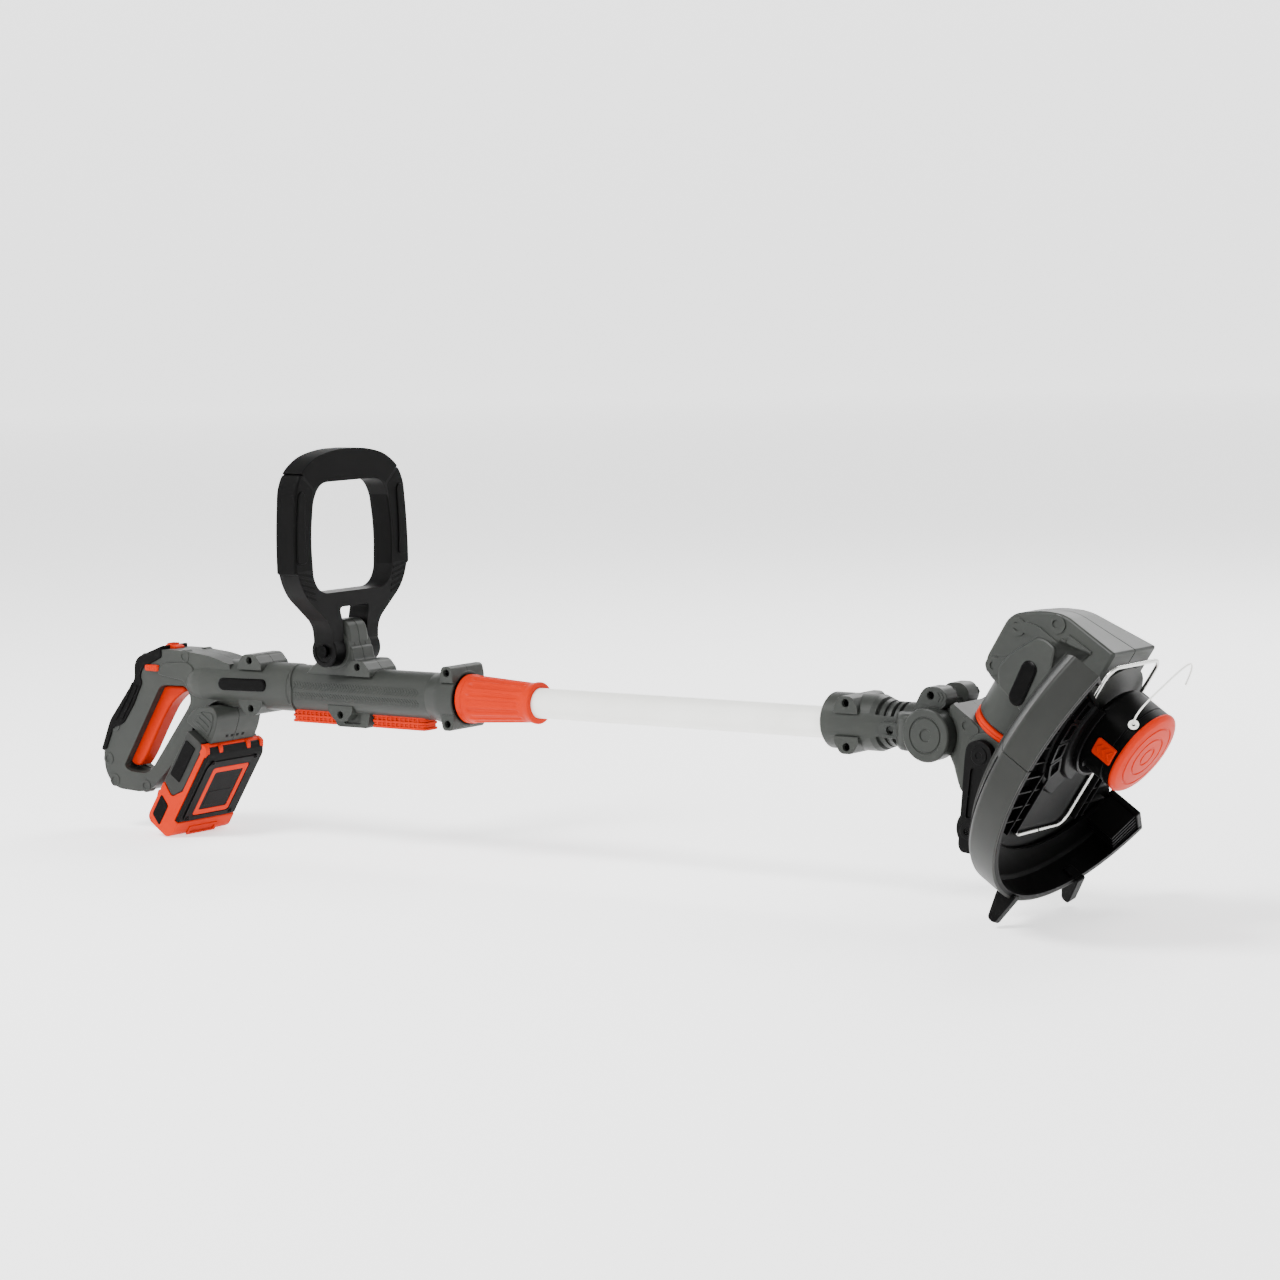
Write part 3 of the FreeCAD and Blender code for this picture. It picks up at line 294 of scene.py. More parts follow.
def turned(profile, axis="Z", centre=(0, 0, 0), start=0, sweep=360, steps=72):
    # profile: (radius, distance along the axis[, corner radius]) round a closed section; angles are
    # right-handed, from +X for a Z axis and from +Z for the others
    shape = bmesh.new()
    outlineFace(shape, profile, 0, "XZ")
    full = sweep >= 360
    if full:
        bmesh.ops.delete(shape, geom=shape.faces[:], context="FACES_ONLY")
    bmesh.ops.rotate(shape, cent=(0, 0, 0), matrix=Matrix.Rotation(math.radians(start), 3, "Z"),
                     verts=shape.verts)
    bmesh.ops.spin(shape, geom=shape.verts[:] + shape.edges[:] + shape.faces[:], cent=(0, 0, 0),
                   axis=(0, 0, 1), dvec=(0, 0, 0), angle=math.radians(sweep),
                   steps=max(3, round(steps * sweep / 360)), use_merge=full, use_normal_flip=False,
                   use_duplicate=False)
    bmesh.ops.remove_doubles(shape, verts=shape.verts, dist=0.002)
    bmesh.ops.dissolve_degenerate(shape, edges=shape.edges[:], dist=0.001)
    bmesh.ops.delete(shape, geom=[item for item in shape.edges if not item.link_faces], context="EDGES")
    bmesh.ops.recalc_face_normals(shape, faces=shape.faces[:])
    bmesh.ops.transform(shape, matrix=lays[axis].to_4x4(), verts=shape.verts)
    bmesh.ops.translate(shape, verts=shape.verts, vec=centre)
    return shape


def bead(path, width, height, sink=0.4):
    # a low rib along a surface: path is a list of (place, outward direction)
    shape = bmesh.new()
    rings = []
    for i, (place, out) in enumerate(path):
        before = Vector(path[max(i - 1, 0)][0])
        along = (Vector(path[min(i + 1, len(path) - 1)][0]) - before).normalized()
        out = Vector(out).normalized()
        side = along.cross(out).normalized()
        rings.append([shape.verts.new(Vector(place) + side * across * width / 2 + out * up)
                      for across, up in ((-1, -sink), (-0.6, height), (0.6, height), (1, -sink))])
    for ring, after in zip(rings, rings[1:]):
        for i in range(4):
            shape.faces.new((ring[i], ring[(i + 1) % 4], after[(i + 1) % 4], after[i]))
    shape.faces.new(rings[0])
    shape.faces.new(rings[-1])
    bmesh.ops.recalc_face_normals(shape, faces=shape.faces[:])
    return shape


def spun(shape, angle, axis="Z", centre=(0, 0, 0)):
    bmesh.ops.rotate(shape, cent=centre, matrix=Matrix.Rotation(math.radians(angle), 3, axis),
                     verts=shape.verts)
    return shape


def flipped(shape):
    # the mirror image across the parting plane, with its faces turned outwards again
    bmesh.ops.scale(shape, vec=(1, -1, 1), verts=shape.verts)
    bmesh.ops.reverse_faces(shape, faces=shape.faces[:])
    return shape


def lug(x, z, face, wide, top=6.0):
    # a screw boss whose foot runs out along a round body on both sides of it
    way = 1 if z > 0 else -1
    foot = [(x - wide, z - way * 8), (x - wide, z - way * 3, 2), (x - top, z + way * 5.4, 3),
            (x + top, z + way * 5.4, 3), (x + wide, z - way * 3, 2), (x + wide, z - way * 8)]
    return slab(foot, seam, -face, edge=1.5, steps=3, holes=[circle(x, z, 3.3)], lip=0.4)


def screwHead(x, z, face):
    # a domed head with a six-lobed recess, sunk below a boss's face on the -Y side
    star = [(x + r * math.cos(math.pi * i / 6), z + r * math.sin(math.pi * i / 6))
            for i, r in enumerate([1.7, 1.1] * 6)]
    ring = slab(circle(x, z, 2.9, 16), 4.6 - face, 2.8 - face, edge=0.6, holes=[star])
    return joined(ring, slab(circle(x, z, 3.6, 12), 5.2 - face, 4.2 - face, edge=0))


def addPiece(name, shape, home, finish, body, replaces=(), sharp=35):
    bmesh.ops.transform(shape, matrix=frames[home], verts=shape.verts)
    for face in shape.faces:
        face.smooth = True
    for edge in shape.edges:
        angle = math.degrees(edge.calc_face_angle(0))
        areas = sorted(face.calc_area() for face in edge.link_faces)
        # wide flat faces keep flat shading where a rounded rim starts
        edge.smooth = angle < sharp and not (angle > 4 and areas[-1] > 5 * areas[0])
    mesh = bpy.data.meshes.new(name)
    shape.to_mesh(mesh)
    shape.free()
    mesh.materials.append(finishes[finish])
    piece = bpy.data.objects.new(name, mesh)
    bpy.context.scene.collection.objects.link(piece)
    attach(piece, body)
    if replaces:
        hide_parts(*replaces)
    return piece


def addPair(name, half, home, finish, body, replaces=("", "")):
    # half() makes the -Y side; the other side is its mirror image
    addPiece(name + "Right", half(), home, finish, body, [n for n in replaces[:1] if n])
    addPiece(name + "Left", flipped(half()), home, finish, body, [n for n in replaces[1:] if n])


loopPivot = (-318, 36.5)      # x and z of the loop handle's bolt

# Rear housing: grip ring, body tube, screw lugs, saddle and blade holder, in two halves.
rear = {
    "grip": [(-442, 18.5), (-467, 25, 8), (-500, 28, 10), (-524, 28.3, 4), (-553.9, 19.4, 5), (-556.8, 12, 3),
             (-557.3, -1, 4), (-590.8, -40.5, 6), (-602.8, -67, 4), (-602, -85, 6), (-595, -95, 5),
             (-586, -100.5, 5), (-556, -102, 6), (-542, -97, 5), (-494, -54, 8), (-487, -30, 8),
             (-458, -13, 8), (-442, -14)],
    "opening": [(-528, -4, 5), (-578, -80, 4), (-570, -84, 4), (-546, -85, 8), (-494, -22, 6), (-490, -14, 5),
                (-497, -3, 6)],
    "well": [(-512, 0.2), (-541, 0.2), (-586, -74), (-577, -82), (-570, -84), (-546, -85, 8), (-494, -22, 6),
             (-490, -14, 5), (-497, -3)],
    "panel": [(-529.5, 5.5, 2), (-529.2, 12.5, 3), (-520.2, 16.7, 3), (-494.1, 18.5, 3), (-486.5, 14.5, 3),
              (-484.9, -2.9, 3), (-492, -8, 3), (-499, 1.5, 3)],
    "tube": [(0, -506), (9, -504, 3), (16.5, -496, 4), (20, -487, 4), (21, -476), (21, -372), (20.2, -371),
             (20.2, -214), (23.5, -200, 3), (23.5, -182.3, 1), (12.9, -182.3), (12.9, -200), (17.8, -202),
             (17.8, -484), (0, -484)],
    "saddle": [(-354, 13.6), (-349, 19, 4), (-338, 27, 4), (-336, 40, 3), (-300, 40, 3), (-298, 28, 4),
               (-284, 20, 4), (-278, 13.6)],
    "tongue": [(-331, 30), (-331, 52, 5), (-326, 62.5, 6), (-308, 62.5, 6), (-303, 52, 5), (-303, 30)],
    "holder": [(-330, -14), (-321, -30, 2), (-287, -30, 2), (-283, -14)],
    "gripScrews": [(-497, 23), (-545, 18.3), (-587, -43), (-597, -74), (-590, -93), (-551, -96), (-484, -36)],
    "tubeScrews": [(-417, 23), (-417, -19), (-291, 23), (-312, -19)],
    "flangeScrews": [(-189, 23), (-189, -20)],
    "hub": [(0, seam), (16.2, seam), (16.5, -1), (16.5, -6), (15.9, -6.4), (15.9, -7.2), (16.5, -7.6),
            (16.5, -14.4, 1), (0, -14.4)],
    "window": [(-317, -18, 1), (-313, -27, 1), (-295, -27, 1), (-293, -18, 1)],
    "holderCore": [(-318, -16), (-314, -28), (-294, -28), (-292, -16)],
    "gripHalf": 16, "face": 17.5, "flangeFace": 20.5, "rim": 4.5, "mid": 8.6,
    "radius": 20.2, "knurlStart": -364, "knurlPitch": 3.1, "knurls": 46, "knurlRows": (-7.5, 1.5),
    "stepAt": -365, "stepRadius": 21,
}


def rearHalf():
    parts = [slab(rear["grip"], -rear["mid"], -rear["gripHalf"], edge=rear["rim"], steps=4,
                  holes=[rear["opening"]]),
             slab(rear["grip"], seam, -rear["mid"], edge=0, holes=[rear["well"]], lip=0.5),
             slab(rear["panel"], -15, -17.1, edge=0.8),
             turned(rear["tube"], "X", start=0.5, sweep=179, steps=96)]
    for x, z in rear["gripScrews"]:
        parts.append(slab(circle(x, z, 5.8, 28), -9, -rear["gripHalf"] - 0.5, edge=0.9,
                          holes=[circle(x, z, 3.2)]))
    parts += [lug(x, z, rear["face"], 14, 6.5) for x, z in rear["tubeScrews"]]
    parts += [lug(x, z, rear["flangeFace"], 6.8, 5.0) for x, z in rear["flangeScrews"]]
    parts.append(slab(rear["saddle"], seam, -14, edge=2.4, steps=3, lip=0.4))
    parts.append(slab(rear["tongue"], seam, -12.6, edge=2.6, steps=3, lip=0.4))
    parts.append(turned(rear["hub"], "Y", (loopPivot[0], 0, loopPivot[1])))
    parts.append(slab(rear["holder"], seam, -11, edge=1.2, holes=[rear["window"]], lip=0.4))
    parts.append(slab(rear["holderCore"], seam, -8.5, edge=0))
    # arrow-shaped knurling on the tube's flank, in two rows
    for i in range(rear["knurls"]):
        x = rear["knurlStart"] + rear["knurlPitch"] * i
        for low in rear["knurlRows"]:
            path = []
            for k in range(5):
                z = low + 1.5 * k
                y = -math.sqrt(rear["radius"] ** 2 - z ** 2)
                path.append(((x + 3.0 - 1.5 * abs(k - 2), y, z), (0, y, z)))
            parts.append(bead(path, 1.3, 0.4))
    # step round the badge panel, pointing forwards
    chevron = []
    for k in range(-8, 9):
        z = 2.3 * k
        y = -math.sqrt(rear["stepRadius"] ** 2 - z ** 2)
        chevron.append(((rear["stepAt"] - 0.75 * abs(k), y, z), (0, y, z)))
    parts.append(bead(chevron, 2.4, 0.7))
    return joined(*parts)


def rearScrews():
    places = [(x, z, rear["gripHalf"] + 0.5) for x, z in rear["gripScrews"]]
    places += [(x, z, rear["face"]) for x, z in rear["tubeScrews"]]
    places += [(x, z, rear["flangeFace"]) for x, z in rear["flangeScrews"]]
    return joined(*[screwHead(*place) for place in places])


addPair("rearHousing", rearHalf, "shaft", "greyAbs", "main_body", ("handle_shell_right", "handle_shell_left"))
addPiece("rearScrews", rearScrews(), "shaft", "blackSteel", "main_body", ["body_screws"])
print("rear housing made")

# Soft strip over the back and top of the grip, with wings on the sides and two long relief grooves.
pad = {
    "spine": [(-524, 28.3), (-524, 31.5, 1), (-556, 20, 4), (-560, 13, 3), (-560.5, 0, 3), (-594, -39, 4),
              (-606, -66, 1), (-602.8, -67), (-590.8, -40.5), (-557.3, -1), (-556.8, 12), (-553.9, 19.4)],
    "wing": [(-525, 31, 1), (-555, 19.2, 4), (-558.6, 12.6, 3), (-559.2, 0, 3), (-592.4, -39, 4),
             (-604, -65.6, 1), (-599, -66, 2), (-588.9, -44.8, 3), (-582.5, -43.8, 3), (-575, -40, 3),
             (-561.8, -23, 3), (-550, -2.2, 3), (-552.4, 2.7, 2), (-549.4, 9.8, 2), (-541, 14, 3),
             (-525, 21, 2)],
    "beads": [[(-556.5, -6), (-562, -15), (-569.5, -26), (-577, -36.5)],
              [(-561.5, -4), (-568, -14), (-576, -25.5), (-585, -37.5)]],
    "side": 16, "wingFoot": 12, "wingFace": 17.2,
}


def padHalf():
    wing = slab(pad["wing"], -pad["wingFoot"], -pad["wingFace"], edge=0.8)
    beads = [bead([((x, -pad["wingFace"], z), (0, -1, 0)) for x, z in path], 3.0, 0.8)
             for path in pad["beads"]]
    return joined(slab(pad["spine"], 0, -pad["side"], edge=2.4, steps=3), wing, *beads)


gripPad = joined(padHalf(), flipped(padHalf()))
addPiece("gripPad", gripPad, "shaft", "softTpe", "main_body", ["rear_grip_pad"])

# Trigger, the two lock buttons and the blank badge.
controls = {
    "trigger": [(-534, -5.2), (-579, -73, 3), (-575, -79, 3), (-566, -80, 3), (-558, -71, 6), (-540, -43, 10),
                (-523, -19, 10), (-505, -8.5, 3), (-508, -5.2)],
    "half": 7.9, "side": box(-544.6, 8.4, -528.4, 14, 2), "sideFoot": 12, "sideFace": 18.6,
    "sideRibs": (-542.4, -539.4, -536.4, -533.4, -530.8),
    "top": [(-531.8, 24.6), (-531.8, 30.4, 1.5), (-527, 32.4, 1.5), (-517.3, 30.2, 1.5), (-517.3, 24.6)],
    "topHalf": 5.8, "topRibs": (-529, -526.4, -523.8), "badge": (-446, 1.6, -400, 2.4), "badgeFace": 22,
}
lever = slab(controls["trigger"], -controls["half"], controls["half"], edge=2.6, steps=4, lip=2.6)
addPiece("triggerLever", lever, "shaft", "orangeAbs", "trigger", ["trigger"])
sideButton = joined(slab(controls["side"], -controls["sideFoot"], -controls["sideFace"], edge=1),
                    *[slab(box(x, 9.4, x + 1.2, 13), 0.4 - controls["sideFace"], -0.5 - controls["sideFace"],
                           edge=0.4) for x in controls["sideRibs"]])
addPiece("lockOffButton", sideButton, "shaft", "orangeAbs", "lock_off_button", ["lock_off_button"])
topButton = joined(slab(controls["top"], -controls["topHalf"], controls["topHalf"], edge=1, lip=1),
                   *[slab(box(x, 30.2, x + 1, 32.7), -4.6, 4.6, edge=0.3, lip=0.3)
                     for x in controls["topRibs"]])
addPiece("lockOnButton", topButton, "shaft", "orangeAbs", "lock_on_button", ["lock_on_button"])


def blankBadge(ends, radius, foot, face):
    # a rounded plate with a slightly raised field
    return joined(slab(capsule(*ends, radius), foot, face, edge=0.8),
                  slab(capsule(*ends, radius - 1.2), foot, face - 0.3, edge=0.3))


badge = blankBadge(controls["badge"], 5.4, -19.4, -controls["badgeFace"])
addPiece("bodyBadge", badge, "shaft", "glossBlack", "main_body", ["body_badge"])
print("controls made")

# Loop handle: a closed ring on two arms, with soft sleeves over both sides and the top.
loop = {
    "half": 11, "rim": 5.6, "rimSteps": 5, "sleeveRim": 7.4,
    "outer": [(-29, 40), (-29, 50, 4), (-31, 60, 8), (-68, 92, 16), (-71.5, 133, 20), (-67, 180, 14),
              (-50, 199, 12), (-20, 207, 12), (20, 207, 12), (50, 199, 12), (67, 180, 14), (71.5, 133, 20),
              (68, 92, 16), (31, 60, 8), (29, 50, 4), (29, 40), (15.3, 40), (15.3, 60, 5), (19, 74, 4),
              (-19, 74, 4), (-15.3, 60, 5), (-15.3, 40)],
    "window": [(-40, 87, 7), (40, 87, 7), (50, 98, 7), (52, 135, 14), (47, 170, 10), (36, 182, 8),
               (-36, 182, 8), (-47, 170, 10), (-52, 135, 14), (-50, 98, 7)],
    "side": [(-72.4, 106), (-73.0, 133, 22), (-68.6, 181, 16), (-61.5, 189.5, 2), (-45.5, 175.5, 2),
             (-46.6, 170, 8), (-51.2, 135, 16), (-50.2, 106)],
    "top": [(-61.0, 190, 0.6), (-51.4, 200.4, 16), (-20.4, 208.4, 16), (20.4, 208.4, 16), (51.4, 200.4, 16),
            (61.0, 190, 0.6), (45.2, 176.2, 0.6), (36.2, 181.2, 8), (-36.2, 181.2, 8), (-45.2, 176.2, 0.6)],
    "panel": [(-70.2, 114, 3), (-70.6, 133, 18), (-66.4, 172, 8), (-62, 176, 3), (-58, 172, 4),
              (-60, 133, 18), (-58, 114, 3)],
    "ribs": (82.5, 87.5, 92.5, 97.5, 102.5),
}


def loopSolid(points, half, rim, holes=()):
    return slab(points, loopPivot[0] + half, loopPivot[0] - half, "YZ", rim, loop["rimSteps"], holes, rim)


discs = [turned([(5.5, side * 15.4), (13.8, side * 15.4, 0.6), (13.8, side * 28.9, 1.2), (10, side * 28.9),
                 (9.4, side * 28.1), (5.5, side * 28.1)], "Y", (loopPivot[0], 0, loopPivot[1]), steps=48)
         for side in (-1, 1)]
ringSolid = loopSolid(loop["outer"], loop["half"], loop["rim"], [loop["window"]])
addPiece("loopFrame", joined(ringSolid, *discs), "shaft", "blackPp", "loop_handle", ["loop_frame"])


def sleeveParts():
    # one side: the sleeve, a long raised panel within it, and rib rings round the arm below it
    parts = [loopSolid(loop["side"], loop["half"] + 0.1, loop["sleeveRim"]),
             loopSolid(loop["panel"], loop["half"] + 1.3, 0.7)]
    for z in loop["ribs"]:
        reach = (z - loop["ribs"][0]) * 0.2
        parts.append(loopSolid([(-58.6 - reach * 2.8, z - 1.4 + 4, 0.7), (-47.2 - reach * 0.9, z - 1.4, 0.7),
                                (-47.4 - reach * 0.9, z + 1.2, 0.7), (-59.6 - reach * 2.8, z + 1.2 + 4, 0.7)],
                               loop["half"] + 0.4, 0.7))
    return joined(*parts)


sleeves = joined(sleeveParts(), flipped(sleeveParts()),
                 loopSolid(loop["top"], loop["half"] + 0.1, loop["sleeveRim"]))
addPiece("loopSleeves", sleeves, "shaft", "softTpe", "loop_handle", ["loop_grip_cover"])
print("loop handle made")

# Lock collar: a taper with shallow round-ended flutes, a rim behind and a flared lip in front.
collar = {"flutes": 16, "depth": 1.1, "from": -170, "to": -116,
          "profile": [(12.75, -181.3), (19.6, -181.3), (20.5, -180.4), (20.5, -175.5), (19.9, -174.8)],
          "tail": [(16.5, -112.5), (16.8, -110.5), (17.4, -108), (17.4, -106), (16.8, -105.2),
                   (12.75, -105.2)]}


def makeCollar():
    steps = 44      # rings along the taper, so that the flutes have a grid to sink into
    middle = [(19.9 - 3.4 * i / steps, -174 + 60.5 * i / steps) for i in range(steps + 1)]
    shape = turned(collar["profile"] + middle + collar["tail"], "X", steps=160)
    for vert in shape.verts:
        radius = math.hypot(vert.co.y, vert.co.z)
        if radius < 14 or not collar["from"] < vert.co.x < collar["to"]:
            continue
        turn = math.atan2(vert.co.z, vert.co.y) * collar["flutes"] / (2 * math.pi)
        across = abs(turn - round(turn)) * 2
        end = min(vert.co.x - collar["from"], collar["to"] - vert.co.x) / 4.0
        across = math.hypot(across, max(0.0, 0.62 * (1 - end)))
        deep = collar["depth"] * min(1.0, max(0.0, (0.66 - across) / 0.16))
        vert.co.y *= 1 - deep / radius
        vert.co.z *= 1 - deep / radius
    return shape


addPiece("lockCollar", makeCollar(), "shaft", "orangeAbs", "collar", ["lock_collar"])
barrel = {
    "gland": box(13.0, -190, 21.6, -181.5),
    "tube": [(11.3, -289.5), (12.2, -289.5), (12.5, -289), (12.5, 231.5), (12.2, 232), (11.3, 232)],
}
addPiece("flangeSeal", turned(barrel["gland"], "X"), "shaft", "blackPp", "main_body", ["tube_guide_bush"])
addPiece("shaftTube", turned(barrel["tube"], "X", steps=96), "shaft", "whiteTube", "lower_shaft",
         ["telescopic_tube"])
print("collar and tube made")

# Spare line blades: two ribbed stacks clipped under the body.
spares = {"stacks": [("spareBladesRear", -376, -324, "spare_blades_rear"),
                     ("spareBladesFront", -284, -224, "spare_blades_front")], "low": -29, "half": 9,
                     "sheets": 5,
          "pitch": 2.4, "ribPitch": 5}


def makeSpares(start, end):
    parts = []
    for i in range(spares["sheets"]):
        z = spares["low"] + spares["pitch"] * i
        inset = 0.8 * (i % 2)
        parts.append(slab(box(start + inset, -spares['half'] + inset, end - inset, spares['half'] - inset, 3),
                          z, z + 2.2, "XY", edge=0.5, lip=0.5))
    for x in range(start + 6, end - 4, spares["ribPitch"]):
        parts.append(slab(box(x, -8.8, x + 1.6, 8.8), spares["low"] + 0.6,
                          spares["low"] + 11.4, "XY", edge=0.3))
    for x in (start + 7, end - 7):
        parts.append(turned([(0, spares["low"] - 0.4), (3, spares["low"] - 0.4, 0.4),
                             (3, spares["low"] + 11.6), (0, spares["low"] + 11.6)], "Z", (x, 0, 0), steps=24))
    return joined(*parts)


for name, start, end, node in spares["stacks"]:
    addPiece(name, makeSpares(start, end), "shaft", "orangeAbs", "main_body", [node])
print("spare blades made")

# Battery mount and battery, drawn in the leg frame: x is the pack's thickness, z runs up the slope.
power = {
    "mount": [(-16, 15, 2), (-14, 26, 4), (-5, 37, 5), (5, 43, 3), (13, 39, 3), (17, 27, 4), (18.5, 12.6, 1),
              (-14, 12.6)],
    "mountHalf": 28, "half": 36,
    "core": [(-2.5, -82, 3), (-2.5, 11.4, 1), (22, 11.4, 3), (27.5, 6, 2), (27.5, -80, 3), (24, -84.5, 2),
             (0, -84.5, 2)],
    "upper": [(-4, -44, 2), (-4, 11.6, 1), (14.6, 11.6, 2), (18.6, 7, 2), (18.6, -38, 3), (11, -50, 3)],
    "strip": [(-1, -34, 1.5), (-1, 4, 1.5), (12, 4, 1.5), (12, -34, 1.5)],
    "band": [(19.2, -62, 0.6), (19.2, 8, 2), (15.6, 12.0, 1), (19.5, 12.4, 1), (24.6, 8.6, 2),
             (24.6, -62, 0.6)],
    "face": [(24.9, -66, 1), (24.9, 7.2, 1), (27, 6, 1), (29, 2, 2), (29, -66, 1)],
    "lower": [(-4, -82, 3), (-4, -45, 1), (10.6, -51, 3), (19.2, -38, 2), (24.4, -38, 1), (24.4, -67, 1),
              (29, -67, 1), (29, -80, 3), (24, -86, 3), (0, -86, 3)],
    "flash": [(0, -78, 2), (0, -56, 2), (12, -60, 2), (12, -82, 2)],
    "mountPanel": [(-9, 17, 1), (-8, 25, 2), (-1, 34, 3), (6, 38, 2), (10, 35, 2), (13, 25, 2), (13, 17, 1)],
    "hook": [(18, 4, 1), (18, 12.6, 1), (23, 12.6, 2), (26.2, 7, 1), (26.2, 4, 1)],
    "bezel": [(-32, -65, 5), (32, -65, 5), (32, 1, 8), (-32, 1, 8)],
    "bezelScrew": [(0, 29.6), (2.4, 29.6), (2.4, 30.5, 0.3), (1.2, 30.7), (1.2, 30.0), (0, 30.0)],
    "tab": [(-23, -72.5, 1.5), (-7, -62.5, 1.5), (-7, -80.5, 2), (-9.5, -83.5, 2), (-21, -79.5, 2)],
    "tabHalf": 12.6, "vents": 6, "ventPitch": 9, "frontFoot": 28.2, "bezelFace": 30.0, "insetFace": 29.7,
    "windowFace": 29.3,
}


def mountHalf():
    parts = [slab(power["mount"], seam, -power["mountHalf"], edge=4, steps=4, lip=0.5),
             slab(power["mountPanel"], -power["mountHalf"] + 1, -power["mountHalf"] - 0.7, edge=0.6)]
    for z in (19, 24, 29):
        parts.append(slab(box(-5, z, 10, z + 2, 0.8), -power["mountHalf"],
                          -power["mountHalf"] - 1.3, edge=0.5))
    return joined(*parts)


addPair("batteryMount", mountHalf, "leg", "greyAbs", "main_body")


upperBox = slab(power["upper"], -power["half"], power["half"], edge=1.6, steps=3, lip=1.6)
addPiece("batteryUpper", upperBox, "leg", "darkAbs", "battery", ["battery_upper_shell"])
core = slab(power["core"], -power["half"] + 1.2, power["half"] - 1.2, edge=1, lip=1)
face = slab(power["face"], -power["half"] + 0.4, power["half"] - 0.4, edge=1.6, steps=3, lip=1.6)
addPiece("batteryCore", joined(core, face), "leg", "blackPp", "battery", ["battery_cells"])
lower = [slab(power["lower"], -power["half"] - 0.2, power["half"] + 0.2, edge=1.8, steps=3, lip=1.8),
         slab(power["band"], -power["half"] - 0.3, power["half"] + 0.3, edge=1, lip=1)]
recess = box(-18, -82, 18, -73, 1)
hollow = box(-15, -80, 15, -75, 1)
lower.append(slab(recess, 28.6, 29.8, "YZ", edge=0.5, holes=[hollow]))
for side in (-1, 1):
    for y in (20, 36.6):
        lower.append(slab(power["hook"], side * (y - 5), side * y, edge=0.8, lip=0.8))
addPiece("batteryLower", joined(*lower), "leg", "orangeAbs", "battery", ["battery_lower_shell"])
marks = []
for side in (-1, 1):
    for outline in (power["strip"], power["flash"]):
        marks.append(slab(outline, side * 35, side * (power["half"] + 0.7), edge=0.4))
addPiece("batteryStripes", joined(*marks), "leg", "glossBlack", "battery")
# cooling slots across the top end, slanted
ventBars = []
for i in range(power["vents"]):
    y = -27 + power["ventPitch"] * i
    ventBars.append(slab([(y, 9.5), (y + 6, 9.5), (y + 8.5, 12.4), (y + 2.5, 12.4)], 4, 15.5, "YZ", edge=0.5))
addPiece("batteryVents", joined(*ventBars), "leg", "blackPp", "battery")
# front face: black frame with corner screws, orange inner frame and a blank window
bezel = slab(power["bezel"], power["frontFoot"] + 0.2, power["bezelFace"], "YZ", edge=0.8,
             holes=[box(-23, -60, 23, -6, 3)])
for y, z in ((-27, -62), (27, -62), (-27, 0), (27, 0)):
    bezel = joined(bezel, turned(power["bezelScrew"], "X", (0, y, z), steps=16))
addPiece("batteryBezel", bezel, "leg", "blackPp", "battery")
inset = slab(box(-22.4, -59.4, 22.4, -6.6, 3), power["frontFoot"], power["insetFace"], "YZ", edge=0.6,
             holes=[box(-17.5, -54, 17.5, -12, 2)])
addPiece("batteryInset", inset, "leg", "orangeAbs", "battery")
window = joined(slab(box(-18, -54.5, 18, -11.5, 2), power["frontFoot"], power["windowFace"], "YZ", edge=0.3),
                slab(box(-14, -50, 14, -34, 1), power["frontFoot"], power["windowFace"] + 0.2, "YZ",
                     edge=0.2))
addPiece("batteryWindow", window, "leg", "glossBlack", "battery", ["battery_label_plate"])
tab = slab(power["tab"], -power["tabHalf"], power["tabHalf"], edge=1.6, steps=3, lip=1.6)
for i in range(4):
    # finger ribs, each a little further round the tab's lower edge
    x = 3.2 * i
    z = -1.1 * i
    rib = [(x - 20, z - 79.4), (x - 18.6, z - 79.8), (x - 18.8, z - 81.2), (x - 20.2, z - 80.8)]
    tab = joined(tab, slab(rib, -10, 10, edge=0.4, lip=0.4))
addPiece("releaseTab", tab, "leg", "orangeAbs", "battery_release", ["battery_release_tab"])
print("battery made")

# Neck: a drum on the tube's end, a flare with vent slots, an ear, and the two cheeks of the tilt joint.
neck = {
    "rise": 2.5, "drum": [(188.3, 20.4), (190, 22), (234, 22), (246, 17.5), (275.5, 17.5)],
    "slots": (238.4, 244.6, 250.8, 257.0), "slotWidth": 3.2, "slotDepth": 3.2, "tiltX": 294, "end": 188.3,
    "shoulder": [(256, -3), (256, -16.5, 2), (267, -29.8, 5), (294, -30.2), (294, -19.6), (275.6, -19.6),
                 (275.6, -3)],
    "ear": [(274, 12), (279, 23, 2), (284.5, 32.5, 3), (289, 35.6, 2), (301, 35.6, 3), (307, 28.6, 3),
            (305, 22, 2), (302, 19.5), (280, 14)],
    "screws": [(213.6, 19, 22), (213.6, -15, 22), (252.5, 0, 20), (292, 29, 23)],
    "earFoot": [(276, 8), (284, 22), (290, 26), (300, 25), (303, 20), (302, 19.6)],
    "disc": [(0, -31.2), (20.6, -31.2), (20.6, -33.6, 0.8), (19.4, -34.5), (14.4, -34.5), (13.9, -33.7),
             (13.1, -33.7), (12.6, -34.5), (5, -34.5), (4.4, -33.6), (0, -33.6)],
}


